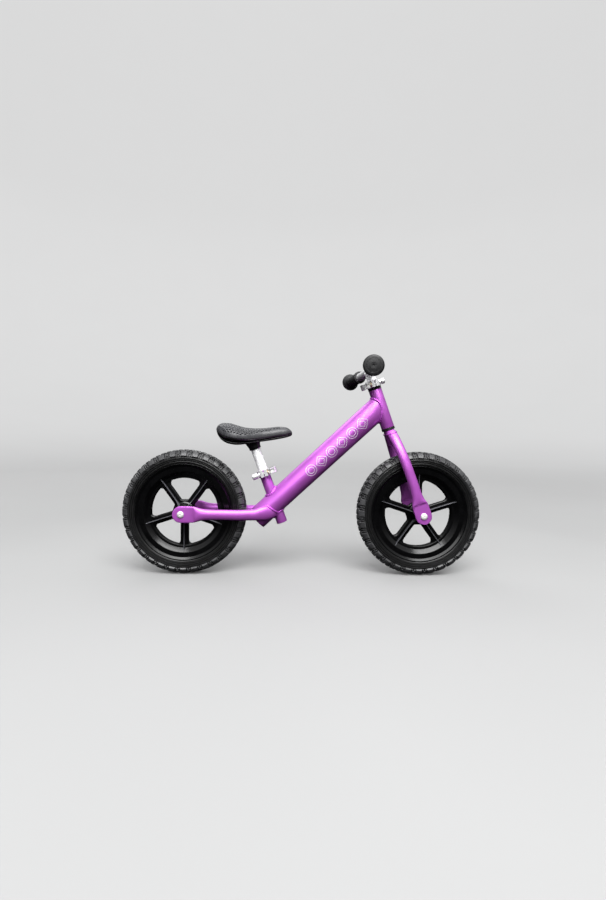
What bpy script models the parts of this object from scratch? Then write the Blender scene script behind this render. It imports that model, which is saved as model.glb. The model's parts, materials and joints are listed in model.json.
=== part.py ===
"""A child's balance bike: one large main tube, five-spoke wheels, block-tread foam tyres, quick-release clamps.

Metres. +X is forwards, +Y is the rider's left, +Z is up. The origin is on the ground, midway between the axles.
"""

from math import asin, atan2, cos, pi, radians, sin, tan

import bmesh
import bpy
from mathutils import Vector

# ---- driving dimensions -------------------------------------------------------------------------------------

GAP = 0.0003                      # between pieces that touch
WHEELBASE = 0.560
TYRE_RADIUS = 0.148
TYRE_WIDTH = 0.046
BEAD_RADIUS = 0.1145              # outer edge of the rim, where the tyre's side meets it
WHEEL_STEPS = 40                  # sides of the wheels and tyres, with a flat side down

HEAD_TILT = radians(19.6)         # steering axis, back from upright
HEAD_TOP = Vector((0.1730, 0, 0.4436))
HEAD_TUBE_RADIUS = 0.0155
HEAD_TUBE_LENGTH = 0.096
STEERER_RADIUS = 0.0127
RING_HEIGHT = 0.0062              # dust rings above and below the head tube

MAIN_TUBE_RISE = radians(43.0)    # main tube, up from level
MAIN_TUBE_LOW = Vector((-0.1084, 0, 0.1304))
MAIN_TUBE_RADIUS_LOW = 0.0260
MAIN_TUBE_RADIUS_HIGH = 0.0280
MAIN_TUBE_WALL = 0.0018

SEAT_TILT = radians(20.6)         # seat axis, back from upright
SEAT_TUBE_TOP = Vector((-0.0885, 0, 0.2337))
SEAT_TUBE_RADIUS = 0.0127
SEAT_TUBE_BELOW = 0.118           # length of the seat tube below the clamp
POST_RADIUS = 0.0111              # seat post and handlebar post
TUBE_WALL = 0.0013

DROPOUT_OFFSET = 0.0515           # from the mid-plane to the middle of a dropout plate
DROPOUT_THICKNESS = 0.006
DROPOUT_RADIUS = 0.019
DROPOUT_NECK = [
    # along from the axle, half of the plate's height
    (0.012, 0.0188),
    (0.0285, 0.0183),
]
AXLE_RADIUS = 0.0047
BOLT_SHANK_RADIUS = 0.0030
BOLT_HEAD_RADIUS = 0.0080
HUB_HALF_LENGTH = 0.036
BEARING_RADIUS = 0.0130
BEARING_WIDTH = 0.008

BAR_RISE = 0.0450                 # from the head tube's top to the bar, along the steering axis
BAR_RADIUS = 0.0101
BAR_SWEEP = radians(9.6)
BAR_STRAIGHT = 0.035              # half of the straight middle of the bar
GRIP_START = 0.084                # from the mid-plane to a grip's inner flange
GRIP_END = 0.170
GRIP_RADIUS = 0.0140

# ---- materials ----------------------------------------------------------------------------------------------


def material(name, colour, roughness, metallic):
    made = bpy.data.materials.new(name)
    made.use_nodes = True
    shader = made.node_tree.nodes["Principled BSDF"]
    shader.inputs["Base Color"].default_value = (*colour, 1)
    shader.inputs["Roughness"].default_value = roughness
    shader.inputs["Metallic"].default_value = metallic
    made.diffuse_color = (*colour, 1)
    return made


# ---- tools --------------------------------------------------------------------------------------------------


def clear_file():
    for item in list(bpy.data.objects):
        bpy.data.objects.remove(item, do_unlink=True)


def collection(name):
    made = bpy.data.collections.new(name)
    bpy.context.scene.collection.children.link(made)
    return made


def axis_empty(name, location, rotation=(0, 0, 0), parent=None):
    made = bpy.data.objects.new(name, None)
    made.location = location
    made.rotation_euler = rotation
    made.parent = parent
    parts.objects.link(made)
    bpy.context.view_layer.update()
    return made


def add_object(name, mesh, parent, look):
    """A new object with this mesh: a piece if it has a look, or else a cutter."""
    made = bpy.data.objects.new(name, mesh)
    made.parent = parent
    if look:
        mesh.materials.append(look)
        parts.objects.link(made)
    else:
        made.display_type = "WIRE"
        made.hide_render = True
        cutters.objects.link(made)
    return made


def smooth(mesh, angle=35):
    mesh.shade_smooth()
    mesh.set_sharp_from_angle(angle=radians(angle))


def finish_mesh(name, shape, parent, look):
    """Closes a bmesh into an object, with its faces pointing out."""
    bmesh.ops.remove_doubles(shape, verts=shape.verts, dist=1e-6)
    bmesh.ops.recalc_face_normals(shape, faces=shape.faces)
    mesh = bpy.data.meshes.new(name)
    shape.to_mesh(mesh)
    shape.free()
    smooth(mesh)
    return add_object(name, mesh, parent, look)


def turned(name, profile, parent, look=None, steps=24, closed=True, start=0.0):
    """A profile of (radius, height) turned about the parent's Z axis. It runs down its outer side."""
    mesh = bpy.data.meshes.new(name)
    points = [(r * cos(start), r * sin(start), z) for r, z in profile]
    edges = [(i, i + 1) for i in range(len(points) - 1)]
    if closed:
        edges.append((len(points) - 1, 0))
    mesh.from_pydata(points, edges, [])
    made = add_object(name, mesh, parent, look)
    screw = made.modifiers.new("turn", "SCREW")
    screw.steps = screw.render_steps = steps
    screw.use_merge_vertices = True
    screw.merge_threshold = 0.00001
    screw.use_smooth_shade = False
    if not closed:
        weld = made.modifiers.new("close_ends", "WELD")
        weld.merge_threshold = 0.00001
    return made


def ring(name, inner, outer, low, high, parent, look=None, steps=24):
    return turned(name, [(outer, high), (outer, low), (inner, low), (inner, high)], parent, look, steps)


def mirrored(half):
    """A closed turned profile from its upper half, which runs down its outer side to the middle."""
    return half + [(r, -z) for r, z in reversed(half)]


def sided(profile, side):
    """A turned profile as it is for side 1, or turned end for end for side -1."""
    return profile if side > 0 else [(r, -z) for r, z in reversed(profile)]


def block(name, low, high, parent, look=None):
    """A box between two corners."""
    shape = bmesh.new()
    bmesh.ops.create_cube(shape, size=1)
    low, high = Vector(low), Vector(high)
    bmesh.ops.scale(shape, vec=high - low, verts=shape.verts)
    bmesh.ops.translate(shape, vec=(low + high) / 2, verts=shape.verts)
    return finish_mesh(name, shape, parent, look)


def rod(name, start, end, radius, parent, look=None, steps=24, radius_end=None):
    """A round bar or cone between two points."""
    start, end = Vector(start), Vector(end)
    shape = bmesh.new()
    bmesh.ops.create_cone(
        shape,
        cap_ends=True,
        segments=steps,
        radius1=radius,
        radius2=radius if radius_end is None else radius_end,
        depth=(end - start).length,
    )
    turn = Vector((0, 0, 1)).rotation_difference(end - start).to_matrix()
    bmesh.ops.rotate(shape, cent=(0, 0, 0), matrix=turn, verts=shape.verts)
    bmesh.ops.translate(shape, vec=(start + end) / 2, verts=shape.verts)
    return finish_mesh(name, shape, parent, look)


def curve_mesh(curve, name, parent, look):
    """Turns a curve into a closed mesh object."""
    shaped = bpy.data.objects.new(name + "_curve", curve)
    bpy.context.scene.collection.objects.link(shaped)
    bpy.context.view_layer.update()
    mesh = bpy.data.meshes.new_from_object(shaped.evaluated_get(bpy.context.evaluated_depsgraph_get()))
    bpy.data.objects.remove(shaped)
    bpy.data.curves.remove(curve)
    mesh.materials.clear()
    shape = bmesh.new()
    shape.from_mesh(mesh)
    bpy.data.meshes.remove(mesh)
    return finish_mesh(name, shape, parent, look)


def tube(name, points, radius, parent, look=None, resolution=3):
    """A solid round tube along a line of points."""
    curve = bpy.data.curves.new(name, "CURVE")
    curve.dimensions = "3D"
    curve.bevel_depth = radius
    curve.bevel_resolution = resolution
    curve.use_fill_caps = True
    spline = curve.splines.new("POLY")
    spline.points.add(len(points) - 1)
    for point, place in zip(spline.points, points):
        point.co = (*place, 1)
    return curve_mesh(curve, name, parent, look)


def plate(name, outline, low, high, parent, look=None):
    """A flat outline in X and Y, extruded from one height to another."""
    curve = bpy.data.curves.new(name, "CURVE")
    curve.dimensions = "2D"
    curve.fill_mode = "BOTH"
    curve.extrude = (high - low) / 2
    spline = curve.splines.new("POLY")
    spline.points.add(len(outline) - 1)
    for point, (x, y) in zip(spline.points, outline):
        point.co = (x, y, 0, 1)
    spline.use_cyclic_u = True
    made = curve_mesh(curve, name, parent, look)
    made.location.z = (low + high) / 2
    return made


def loft(name, stations, across, up, parent, look=None, sides=16):
    """Joins oval sections into one body. A station is (centre, half width, half height, squareness)."""
    shape = bmesh.new()
    across, up = Vector(across), Vector(up)
    loops = []
    for centre, half_width, half_height, squareness in stations:
        loop = []
        for i in range(sides):
            c, s = cos(2 * pi * i / sides), sin(2 * pi * i / sides)
            u = half_width * abs(c) ** (2 / squareness) * (1 if c >= 0 else -1)
            v = half_height * abs(s) ** (2 / squareness) * (1 if s >= 0 else -1)
            loop.append(shape.verts.new(Vector(centre) + across * u + up * v))
        loops.append(loop)
    for a, b in zip(loops, loops[1:]):
        for i in range(sides):
            j = (i + 1) % sides
            shape.faces.new((a[i], a[j], b[j], b[i]))
    shape.faces.new(loops[0])
    shape.faces.new(loops[-1])
    return finish_mesh(name, shape, parent, look)


def combine(piece, other, operation="DIFFERENCE"):
    """Cuts a piece with a cutter, or joins the cutter's shape to it."""
    change = piece.modifiers.new(other.name, "BOOLEAN")
    change.operation = operation
    change.solver = "EXACT"
    change.object = other


def rounded(corners, steps=4):
    """A closed outline from corners of (x, y, radius), each rounded to its radius. Radius 0 keeps it sharp."""
    outline = []
    places = [Vector(corner[:2]) for corner in corners]
    for i, here in enumerate(places):
        radius = corners[i][2]
        if radius == 0:
            outline.append(tuple(here))
            continue
        back = (places[i - 1] - here).normalized()
        ahead = (places[(i + 1) % len(places)] - here).normalized()
        half = back.angle(ahead) / 2
        centre = here + (back + ahead).normalized() * radius / sin(half)
        start = here + back * radius / tan(half) - centre
        end = here + ahead * radius / tan(half) - centre
        first = atan2(start.y, start.x)
        sweep = (atan2(end.y, end.x) - first + pi) % (2 * pi) - pi
        for k in range(steps + 1):
            angle = first + sweep * k / steps
            outline.append((centre.x + radius * cos(angle), centre.y + radius * sin(angle)))
    return outline


def ribbon(line, half_widths):
    """The outline of a strip that follows a line of (x, y) points."""
    left, right = [], []
    for i, (place, half) in enumerate(zip(line, half_widths)):
        before = Vector(line[max(i - 1, 0)])
        after = Vector(line[min(i + 1, len(line) - 1)])
        along = (after - before).normalized()
        aside = Vector((-along.y, along.x)) * half
        left.append(tuple(Vector(place) + aside))
        right.append(tuple(Vector(place) - aside))
    return left + right[::-1]


def upright_axis(name, location, tilt):
    """An empty whose Z axis leans back from upright."""
    return axis_empty(name, location, (0, -tilt, 0))


def crosswise_axis(name, location):
    """An empty whose Z axis points to the left, with its Y axis down."""
    return axis_empty(name, location, (-pi / 2, 0, 0))


# ---- frame --------------------------------------------------------------------------------------------------


def main_tube_length():
    """Distance along the main tube's axis to the steering axis."""
    offset = HEAD_TOP - MAIN_TUBE_LOW
    across = Vector((cos(HEAD_TILT), 0, sin(HEAD_TILT)))
    along = Vector((cos(MAIN_TUBE_RISE), 0, sin(MAIN_TUBE_RISE)))
    return offset.dot(across) / along.dot(across)


def main_tube_stations(length, inset):
    """Round for most of its length, then narrowing sideways to the head tube's width."""
    sections = [
        # back from the steering axis, share of the full width
        (length, 1.0),
        (0.066, 1.0),
        (0.048, 0.97),
        (0.032, 0.89),
        (0.016, 0.76),
        (0, 0.62),
        (-0.015, 0.57),
    ]
    stations = []
    for back, share in sections:
        place = length - back
        radius = MAIN_TUBE_RADIUS_LOW + (MAIN_TUBE_RADIUS_HIGH - MAIN_TUBE_RADIUS_LOW) * place / length
        stations.append((Vector((0, 0, place)), radius * share - inset, radius - inset, 2))
    return stations


def make_main_tube(seat_tube_room):
    axis = axis_empty("main_tube_axis", MAIN_TUBE_LOW, (0, pi / 2 - MAIN_TUBE_RISE, 0))
    length = main_tube_length()
    low, high = MAIN_TUBE_RADIUS_LOW, MAIN_TUBE_RADIUS_HIGH
    across, up = (0, 1, 0), (1, 0, 0)
    body = loft("main_tube", main_tube_stations(length, 0), across, up, axis, violet, 24)
    combine(body, block("main_tube_mitre", (0, -0.04, -0.15), (0.08, 0.04, 0.05), steering))
    hollow = main_tube_stations(length, MAIN_TUBE_WALL)
    beyond = Vector((0, 0, 0.002))
    hollow[0] = (hollow[0][0] - beyond, *hollow[0][1:])
    hollow[-1] = (hollow[-1][0] + beyond, *hollow[-1][1:])
    combine(body, loft("main_tube_hollow", hollow, across, up, axis, None, 24))
    combine(body, rod("head_tube_room", (0, 0, -0.15), (0, 0, 0.05), HEAD_TUBE_RADIUS + GAP, steering))
    combine(body, seat_tube_room)
    plug_radius = low - MAIN_TUBE_WALL - GAP
    rod("main_tube_end_plug", (0, 0, 0.0010), (0, 0, 0.0035), plug_radius, axis, violet)
    return rod("main_tube_room", (0, 0, -0.02), (0, 0, length), low + GAP, axis, None, 32, high + GAP)


def make_head_tube():
    outer = HEAD_TUBE_RADIUS
    seat, bore, depth = 0.0143, 0.0136, 0.008
    bottom = -HEAD_TUBE_LENGTH
    profile = [
        (outer, 0),
        (outer, bottom),
        (seat, bottom),
        (seat, bottom + depth),
        (bore, bottom + depth),
        (bore, -depth),
        (seat, -depth),
        (seat, 0),
    ]
    turned("head_tube", profile, steering, violet)
    inner = STEERER_RADIUS + GAP
    flange, shell = outer + 0.0006, seat - GAP
    ring("headset_ring_upper", inner, flange, GAP, RING_HEIGHT, steering, rubber)
    ring("headset_ring_lower", inner, flange, bottom - RING_HEIGHT, bottom - GAP, steering, rubber)
    ring("headset_bearing_upper", inner, shell, GAP - depth, -GAP, steering, steel)
    ring("headset_bearing_lower", inner, shell, bottom + GAP, bottom + depth - GAP, steering, steel)


def make_seat_tube():
    inner = SEAT_TUBE_RADIUS - TUBE_WALL
    body = ring("seat_tube", inner, SEAT_TUBE_RADIUS, -SEAT_TUBE_BELOW, 0.0160, seat_axis, violet)
    combine(body, block("seat_tube_slit", (-0.0010, -0.020, 0.0010), (0.0010, -0.004, 0.020), seat_axis))


def dropout_stations(tip, direction, side):
    """Sections of a flattened round-ended plate, from its tip to where it swells into the tube.

    tip is the axle's place on the mid-plane, and direction points from the axle to the tube.
    """
    offset = Vector((0, side * DROPOUT_OFFSET, 0))
    flat = DROPOUT_THICKNESS / 2
    stations = []
    for turn in (6, 30, 58, 90):
        along = -DROPOUT_RADIUS * cos(radians(turn))
        half_height = DROPOUT_RADIUS * sin(radians(turn))
        stations.append((tip + offset + direction * along, flat, half_height, 6))
    for along, half_height in DROPOUT_NECK:
        stations.append((tip + offset + direction * along, flat, half_height, 6))
    return stations


def make_chainstay(side, label, rooms):
    """side is -1 for the right and 1 for the left."""
    axle = Vector((-WHEELBASE / 2, 0, TYRE_RADIUS))
    stations = dropout_stations(axle, Vector((1, 0, 0)), side)
    tube_sections = [
        # forward of the axle, from the mid-plane, height, half width, half height
        (0.0355, 0.0511, 0.1479, 0.0050, 0.0170, 3),
        (0.0455, 0.0500, 0.1478, 0.0072, 0.0142, 2.2),
        (0.0570, 0.0487, 0.1476, 0.0079, 0.0126, 2),
        (0.090, 0.0454, 0.1470, 0.0080, 0.0120, 2),
        (0.148, 0.0372, 0.1454, 0.0080, 0.0125, 2),
        (0.168, 0.0330, 0.1455, 0.0082, 0.0132, 2),
        (0.182, 0.0292, 0.1475, 0.0086, 0.0155, 2),
        (0.195, 0.0248, 0.1485, 0.0088, 0.0168, 2),
        (0.206, 0.0202, 0.1488, 0.0086, 0.0150, 2),
        (0.215, 0.0158, 0.1496, 0.0074, 0.0112, 2),
        (0.222, 0.0112, 0.1512, 0.0050, 0.0070, 2),
    ]
    for forward, aside, height, half_width, half_height, squareness in tube_sections:
        centre = Vector((axle.x + forward, side * aside, height))
        stations.append((centre, half_width, half_height, squareness))
    body = loft("chainstay_" + label, stations, (0, 1, 0), (0, 0, 1), None, violet)
    for room in rooms:
        combine(body, room)
    hole = rod("rear_bolt_room_" + label, (0, 0, side * 0.03), (0, 0, side * 0.07), 0.0034, rear_axis, None, 16)
    combine(body, hole)


# ---- fork ---------------------------------------------------------------------------------------------------


def steering_point(place):
    """A world point of the mid-plane, as forward offset and height along the steering axis."""
    offset = place - HEAD_TOP
    forward = offset.x * cos(HEAD_TILT) + offset.z * sin(HEAD_TILT)
    return forward, offset.z * cos(HEAD_TILT) - offset.x * sin(HEAD_TILT)


def make_fork_leg(side, label):
    rake, drop = steering_point(Vector((WHEELBASE / 2, 0, TYRE_RADIUS)))
    axle = Vector((rake, 0, drop))
    stations = dropout_stations(axle, Vector((0, 0, 1)), side)
    tube_sections = [
        # up from the axle, from the mid-plane, forward, half width, half depth
        (0.0350, 0.0514, 0.0016, 0.0050, 0.0160, 3),
        (0.0425, 0.0512, 0.0018, 0.0068, 0.0139, 2.2),
        (0.0535, 0.0510, 0.0023, 0.0078, 0.0122, 2),
        (0.075, 0.0506, 0.0032, 0.0078, 0.0114, 2),
        (0.110, 0.0495, 0.0032, 0.0078, 0.0112, 2),
        (0.140, 0.0462, 0.0030, 0.0080, 0.0112, 2),
        (0.160, 0.0408, 0.0026, 0.0084, 0.0112, 2),
        (0.176, 0.0335, 0.0022, 0.0090, 0.0114, 2),
        (0.192, 0.0245, 0.0015, 0.0098, 0.0118, 2),
        (0.203, 0.0170, 0.0008, 0.0098, 0.0118, 2),
        (0.209, 0.0130, 0.0004, 0.0090, 0.0106, 2),
        (0.2117, 0.0117, 0.0002, 0.0066, 0.0078, 2),
    ]
    for rise, aside, forward, half_width, half_depth, squareness in tube_sections:
        centre = Vector((forward, side * aside, drop + rise))
        stations.append((centre, half_width, half_depth, squareness))
    body = loft("fork_leg_" + label, stations, (0, 1, 0), (1, 0, 0), steering, violet)
    room = rod("steerer_room_" + label, (0, 0, -0.15), (0, 0, 0.02), STEERER_RADIUS + GAP, steering)
    combine(body, room)
    hole = rod("front_bolt_room_" + label, (0, 0, side * 0.03), (0, 0, side * 0.07), 0.0034, front_axis, None, 16)
    combine(body, hole)


def make_steerer():
    inner = STEERER_RADIUS - TUBE_WALL
    ring("steerer_tube", inner, STEERER_RADIUS, -0.1400, 0.0225, steering, violet)


# ---- axles and wheels ---------------------------------------------------------------------------------------


def make_axle(label, axis):
    inner_face = DROPOUT_OFFSET - DROPOUT_THICKNESS / 2
    outer_face = DROPOUT_OFFSET + DROPOUT_THICKNESS / 2
    reach = inner_face - GAP
    ring(label + "_axle", 0.0033, AXLE_RADIUS, -reach, reach, axis, steel, 12)
    for side, hand in ((-1, "right"), (1, "left")):
        low = HUB_HALF_LENGTH + GAP
        near, far = sorted((side * low, side * reach))
        ring(f"{label}_spacer_{hand}", AXLE_RADIUS + GAP, 0.0075, near, far, axis, steel, 12)
        under = outer_face + GAP
        head = [(0, under + 0.0042), (0.0042, under + 0.0038), (0.0068, under + 0.0022)]
        head += [(BOLT_HEAD_RADIUS, under + 0.0008), (BOLT_HEAD_RADIUS, under), (BOLT_SHANK_RADIUS, under)]
        head += [(BOLT_SHANK_RADIUS, 0.030), (0, 0.030)]
        turned(f"{label}_axle_bolt_{hand}", sided(head, side), axis, steel, 16, closed=False)


def wheel_profile():
    seat = BEARING_RADIUS + GAP
    shoulder = HUB_HALF_LENGTH - BEARING_WIDTH - GAP
    inside = [(0.0095, shoulder), (seat, shoulder), (seat, HUB_HALF_LENGTH)]
    side = [
        (0.0180, HUB_HALF_LENGTH),
        (0.0250, 0.0095),
        (0.0800, 0.0085),
        (0.0920, 0.0100),
        (0.1040, 0.0180),
        (BEAD_RADIUS, 0.0195),
    ]
    channel = [(BEAD_RADIUS, 0.0160), (0.1080, 0.0140)]
    return mirrored(inside + side + channel)


def tyre_profile():
    half = TYRE_WIDTH / 2
    outer = TYRE_RADIUS / cos(pi / WHEEL_STEPS)
    return mirrored([
        (0.1080 + GAP, 0.0136),
        (BEAD_RADIUS + GAP, 0.0156),
        (BEAD_RADIUS + GAP, 0.0195),
        (0.1220, half),
        (0.1380, half - 0.0010),
        (outer - 0.0045, half - 0.0060),
        (outer, half - 0.0120),
    ])


def window_outline():
    """One opening between two spokes: wide at the rim, narrow at the hub."""
    spoke_half = 0.0095
    inner, outer = 0.0290, 0.0815
    inner_angle = pi / 5 - asin(spoke_half / inner)
    outer_angle = pi / 5 - asin(spoke_half / outer)
    corners = [(inner * cos(inner_angle), -inner * sin(inner_angle), 0.0040)]
    for part, radius in ((-1, 0.0090), (-0.35, 0), (0, 0), (0.35, 0), (1, 0.0090)):
        angle = outer_angle * part
        corners.append((outer * cos(angle), outer * sin(angle), radius))
    corners.append((inner * cos(inner_angle), inner * sin(inner_angle), 0.0040))
    return rounded(corners, 3)


def turned_outline(outline, angle):
    return [(x * cos(angle) - y * sin(angle), x * sin(angle) + y * cos(angle)) for x, y in outline]


def make_wheel(label, axis, first_spoke):
    """first_spoke is a spoke's direction, turned from forwards towards the ground."""
    half_step = pi / WHEEL_STEPS
    body = turned(label + "_wheel", wheel_profile(), axis, nylon, WHEEL_STEPS, start=half_step)
    for i in range(5):
        angle = first_spoke + pi / 5 + i * 2 * pi / 5
        outline = turned_outline(window_outline(), angle)
        combine(body, plate(f"{label}_window_{i}", outline, -0.03, 0.03, axis))
    turned(label + "_tyre", tyre_profile(), axis, foam, WHEEL_STEPS, start=half_step)
    shoulder = HUB_HALF_LENGTH - BEARING_WIDTH
    bore = AXLE_RADIUS + GAP
    for hand, low, high in (("right", -HUB_HALF_LENGTH, -shoulder), ("left", shoulder, HUB_HALF_LENGTH)):
        ring(f"{label}_bearing_{hand}", bore, BEARING_RADIUS, low, high, axis, steel, 16)
    ring(label + "_hub_sleeve", bore, 0.0070, GAP - shoulder, shoulder - GAP, axis, steel, 12)


# ---- quick-release clamps -----------------------------------------------------------------------------------


def make_clamp(label, axis, low, high, outer, skewer_height, nut_side, nut_length):
    """A split collar with a skewer across its ears, on the right. nut_side is 1 if the nut is at the front."""
    bore = SEAT_TUBE_RADIUS + GAP
    ear = 0.0092                       # half the distance across both ears
    aside = -(outer + 0.0052)          # skewer's distance from the tube's axis
    collar = ring(label + "_collar", bore, outer, low, high, axis, silver)
    ears = block(label + "_ears", (-ear, aside - 0.0055, low + 0.0008), (ear, -bore + 0.0006, high - 0.0008), axis)
    combine(collar, ears, "UNION")
    combine(collar, rod(label + "_bore", (0, 0, low - 0.01), (0, 0, high + 0.01), bore, axis, None, 32))
    slit = block(label + "_slit", (-0.0011, aside - 0.008, low - 0.01), (0.0011, -0.0100, high + 0.01), axis)
    combine(collar, slit)
    line = (aside, skewer_height)
    hole = rod(label + "_skewer_room", (-0.03, *line), (0.03, *line), 0.0030, axis, None, 16)
    combine(collar, hole)

    cam_radius, washer = 0.0068, 0.0012
    pin_place = -nut_side * (ear + GAP + washer + GAP + cam_radius)
    pin_axis = axis_empty(label + "_pin_axis", (pin_place, aside, skewer_height), parent=axis)
    eye_half = 0.0033
    nut_face = nut_side * (ear + GAP)
    end = nut_face + nut_side * (nut_length - 0.003)
    skewer = rod(label + "_skewer", (pin_place, *line), (end, *line), 0.0026, axis, steel, 16)
    combine(skewer, rod(label + "_eye", (0, 0, -eye_half), (0, 0, eye_half), 0.0050, pin_axis), "UNION")
    pin_room = rod(label + "_pin_room", (0, 0, -0.02), (0, 0, 0.02), 0.0024 + GAP, pin_axis, None, 16)
    combine(skewer, pin_room)
    pin_half = 0.0066
    rod(label + "_pin", (0, 0, -pin_half), (0, 0, pin_half), 0.0024, pin_axis, steel, 16)

    across = axis_empty(label + "_skewer_axis", (0, *line), (0, pi / 2, 0), axis)
    start = -nut_side * (ear + GAP)
    near, far = sorted((start, start - nut_side * washer))
    ring(label + "_washer", 0.0029, 0.0062, near, far, across, brass, 16)
    base = ear + GAP
    profile = [
        (0, base + nut_length),
        (0.0035, base + nut_length),
        (0.0058, base + nut_length - 0.0010),
        (0.0070, base + nut_length - 0.0030),
        (0.0070, base + 0.0060),
        (0.0046, base + 0.0052),
        (0.0046, base + 0.0030),
        (0.0062, base + 0.0022),
        (0.0062, base),
        (0.0029, base),
        (0.0029, base + nut_length - 0.0025),
        (0, base + nut_length - 0.0025),
    ]
    turned(label + "_nut", sided(profile, nut_side), across, silver, 14, closed=False)

    make_lever(label, pin_axis, -nut_side, cam_radius, eye_half, pin_room)


def make_lever(label, pin_axis, outwards, cam_radius, eye_half, pin_room):
    """The lever's cam turns on its pin. Closed, the arm wraps round the far side of the collar."""
    half_height = 0.0066
    line = [(0.0015, -0.0010), (0.0070, 0.0010), (0.0104, 0.0060), (0.0114, 0.0160)]
    line += [(0.0100, 0.0270), (0.0064, 0.0360), (0.0014, 0.0425)]
    halves = [0.0030, 0.0030, 0.0028, 0.0026, 0.0024, 0.0021, 0.0016]
    outline = [(outwards * x, y) for x, y in ribbon(line, halves)]
    lever = rod(label + "_lever", (0, 0, -half_height), (0, 0, half_height), cam_radius, pin_axis, silver)
    combine(lever, plate(label + "_arm", outline, -half_height, half_height, pin_axis), "UNION")
    slot_end = 0.0062
    low, high = sorted((-outwards * 0.012, outwards * slot_end))
    slot_half = eye_half + GAP
    combine(lever, block(label + "_eye_room", (low, -0.0075, -slot_half), (high, 0.0075, slot_half), pin_axis))
    combine(lever, pin_room)


# ---- seat ---------------------------------------------------------------------------------------------------

SADDLE_SECTIONS = [
    # forward place, half width, top, where the pad meets the base, underside
    (-0.2050, 0.0120, 0.3490, 0.3420, 0.3390),
    (-0.2000, 0.0300, 0.3555, 0.3370, 0.3290),
    (-0.1890, 0.0460, 0.3600, 0.3290, 0.3170),
    (-0.1750, 0.0560, 0.3595, 0.3225, 0.3105),
    (-0.1560, 0.0590, 0.3545, 0.3190, 0.3080),
    (-0.1360, 0.0540, 0.3495, 0.3165, 0.3100),
    (-0.1150, 0.0430, 0.3480, 0.3165, 0.3135),
    (-0.0950, 0.0330, 0.3485, 0.3190, 0.3165),
    (-0.0750, 0.0270, 0.3508, 0.3220, 0.3195),
    (-0.0560, 0.0235, 0.3525, 0.3255, 0.3230),
    (-0.0410, 0.0200, 0.3515, 0.3285, 0.3260),
    (-0.0310, 0.0140, 0.3450, 0.3310, 0.3290),
    (-0.0262, 0.0070, 0.3400, 0.3330, 0.3312),
]


def saddle_body(name, half_widths, lows, highs, look):
    stations = []
    for section, half_width, low, high in zip(SADDLE_SECTIONS, half_widths, lows, highs):
        stations.append((Vector((section[0], 0, (low + high) / 2)), half_width, (high - low) / 2, 2.5))
    return loft(name, stations, (0, 1, 0), (0, 0, 1), None, look)


def make_seat():
    low, high = -0.085, 0.0830
    post = ring("seat_post", POST_RADIUS - 0.0015, POST_RADIUS, low, high, seat_axis, silver)
    widths = [section[1] for section in SADDLE_SECTIONS]
    tops = [section[2] for section in SADDLE_SECTIONS]
    meeting = [section[3] for section in SADDLE_SECTIONS]
    unders = [section[4] for section in SADDLE_SECTIONS]
    saddle_body("saddle_pad", widths, meeting, tops, padding)
    inner_widths = [width * 0.90 for width in widths]
    base_tops = [height + 0.0020 for height in meeting]
    base = saddle_body("saddle_base", inner_widths, unders, base_tops, plastic)
    socket_radius = 0.0142
    combine(base, rod("saddle_socket", (0, 0, 0.0690), (0, 0, 0.0900), socket_radius, seat_axis), "UNION")
    wider = [width + 0.0006 for width in widths]
    lower = [height - 0.0006 for height in meeting]
    combine(base, saddle_body("saddle_pad_room", wider, lower, tops, None))
    combine(base, rod("seat_post_room", (0, 0, 0.05), (0, 0, high + GAP), POST_RADIUS + GAP, seat_axis))
    height, head, shank = 0.0755, 0.0038, 0.0020
    side = socket_radius + GAP
    screw = rod("saddle_screw", (0, side, height), (0, side + 0.0030, height), head, seat_axis, steel, 12)
    shank_body = rod("saddle_screw_shank", (0, 0.006, height), (0, side + 0.0010, height), shank, seat_axis, None, 12)
    combine(screw, shank_body, "UNION")
    room = rod("saddle_screw_room", (0, 0, height), (0, 0.03, height), shank + GAP, seat_axis, None, 12)
    combine(base, room)
    combine(post, room)


# ---- handlebar ----------------------------------------------------------------------------------------------


def bar_point(reach):
    """A point on the bar's centre line: the distance from the mid-plane, straight first and then swept back."""
    blend = 0.012
    beyond = abs(reach) - BAR_STRAIGHT
    if beyond <= -blend:
        back = 0.0
    elif beyond < blend:
        back = tan(BAR_SWEEP) * (beyond + blend) ** 2 / (4 * blend)
    else:
        back = tan(BAR_SWEEP) * beyond
    return Vector((-back, reach, BAR_RISE))


def bar_line():
    half = [0, 0.023, 0.031, 0.039, 0.047, GRIP_END - 0.008]
    reaches = [-reach for reach in reversed(half[1:])] + half
    return [bar_point(reach) for reach in reaches]


def make_handlebar():
    body = tube("handlebar_tube", bar_line(), BAR_RADIUS, steering, silver_grey)
    ends = bar_line()
    ends[0], ends[-1] = bar_point(-GRIP_END), bar_point(GRIP_END)
    combine(body, tube("handlebar_hollow", ends, BAR_RADIUS - 0.0016, steering, None, 2))
    low = -0.080
    post = ring("handlebar_post", POST_RADIUS - 0.0015, POST_RADIUS, low, BAR_RISE, steering, silver)
    half_room = Vector((0, 0.03, 0))
    centre = Vector((0, 0, BAR_RISE))
    combine(post, rod("bar_room", centre - half_room, centre + half_room, BAR_RADIUS + GAP, steering, None, 32))
    for side, hand in ((-1, "right"), (1, "left")):
        make_grip(side, hand)


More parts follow.
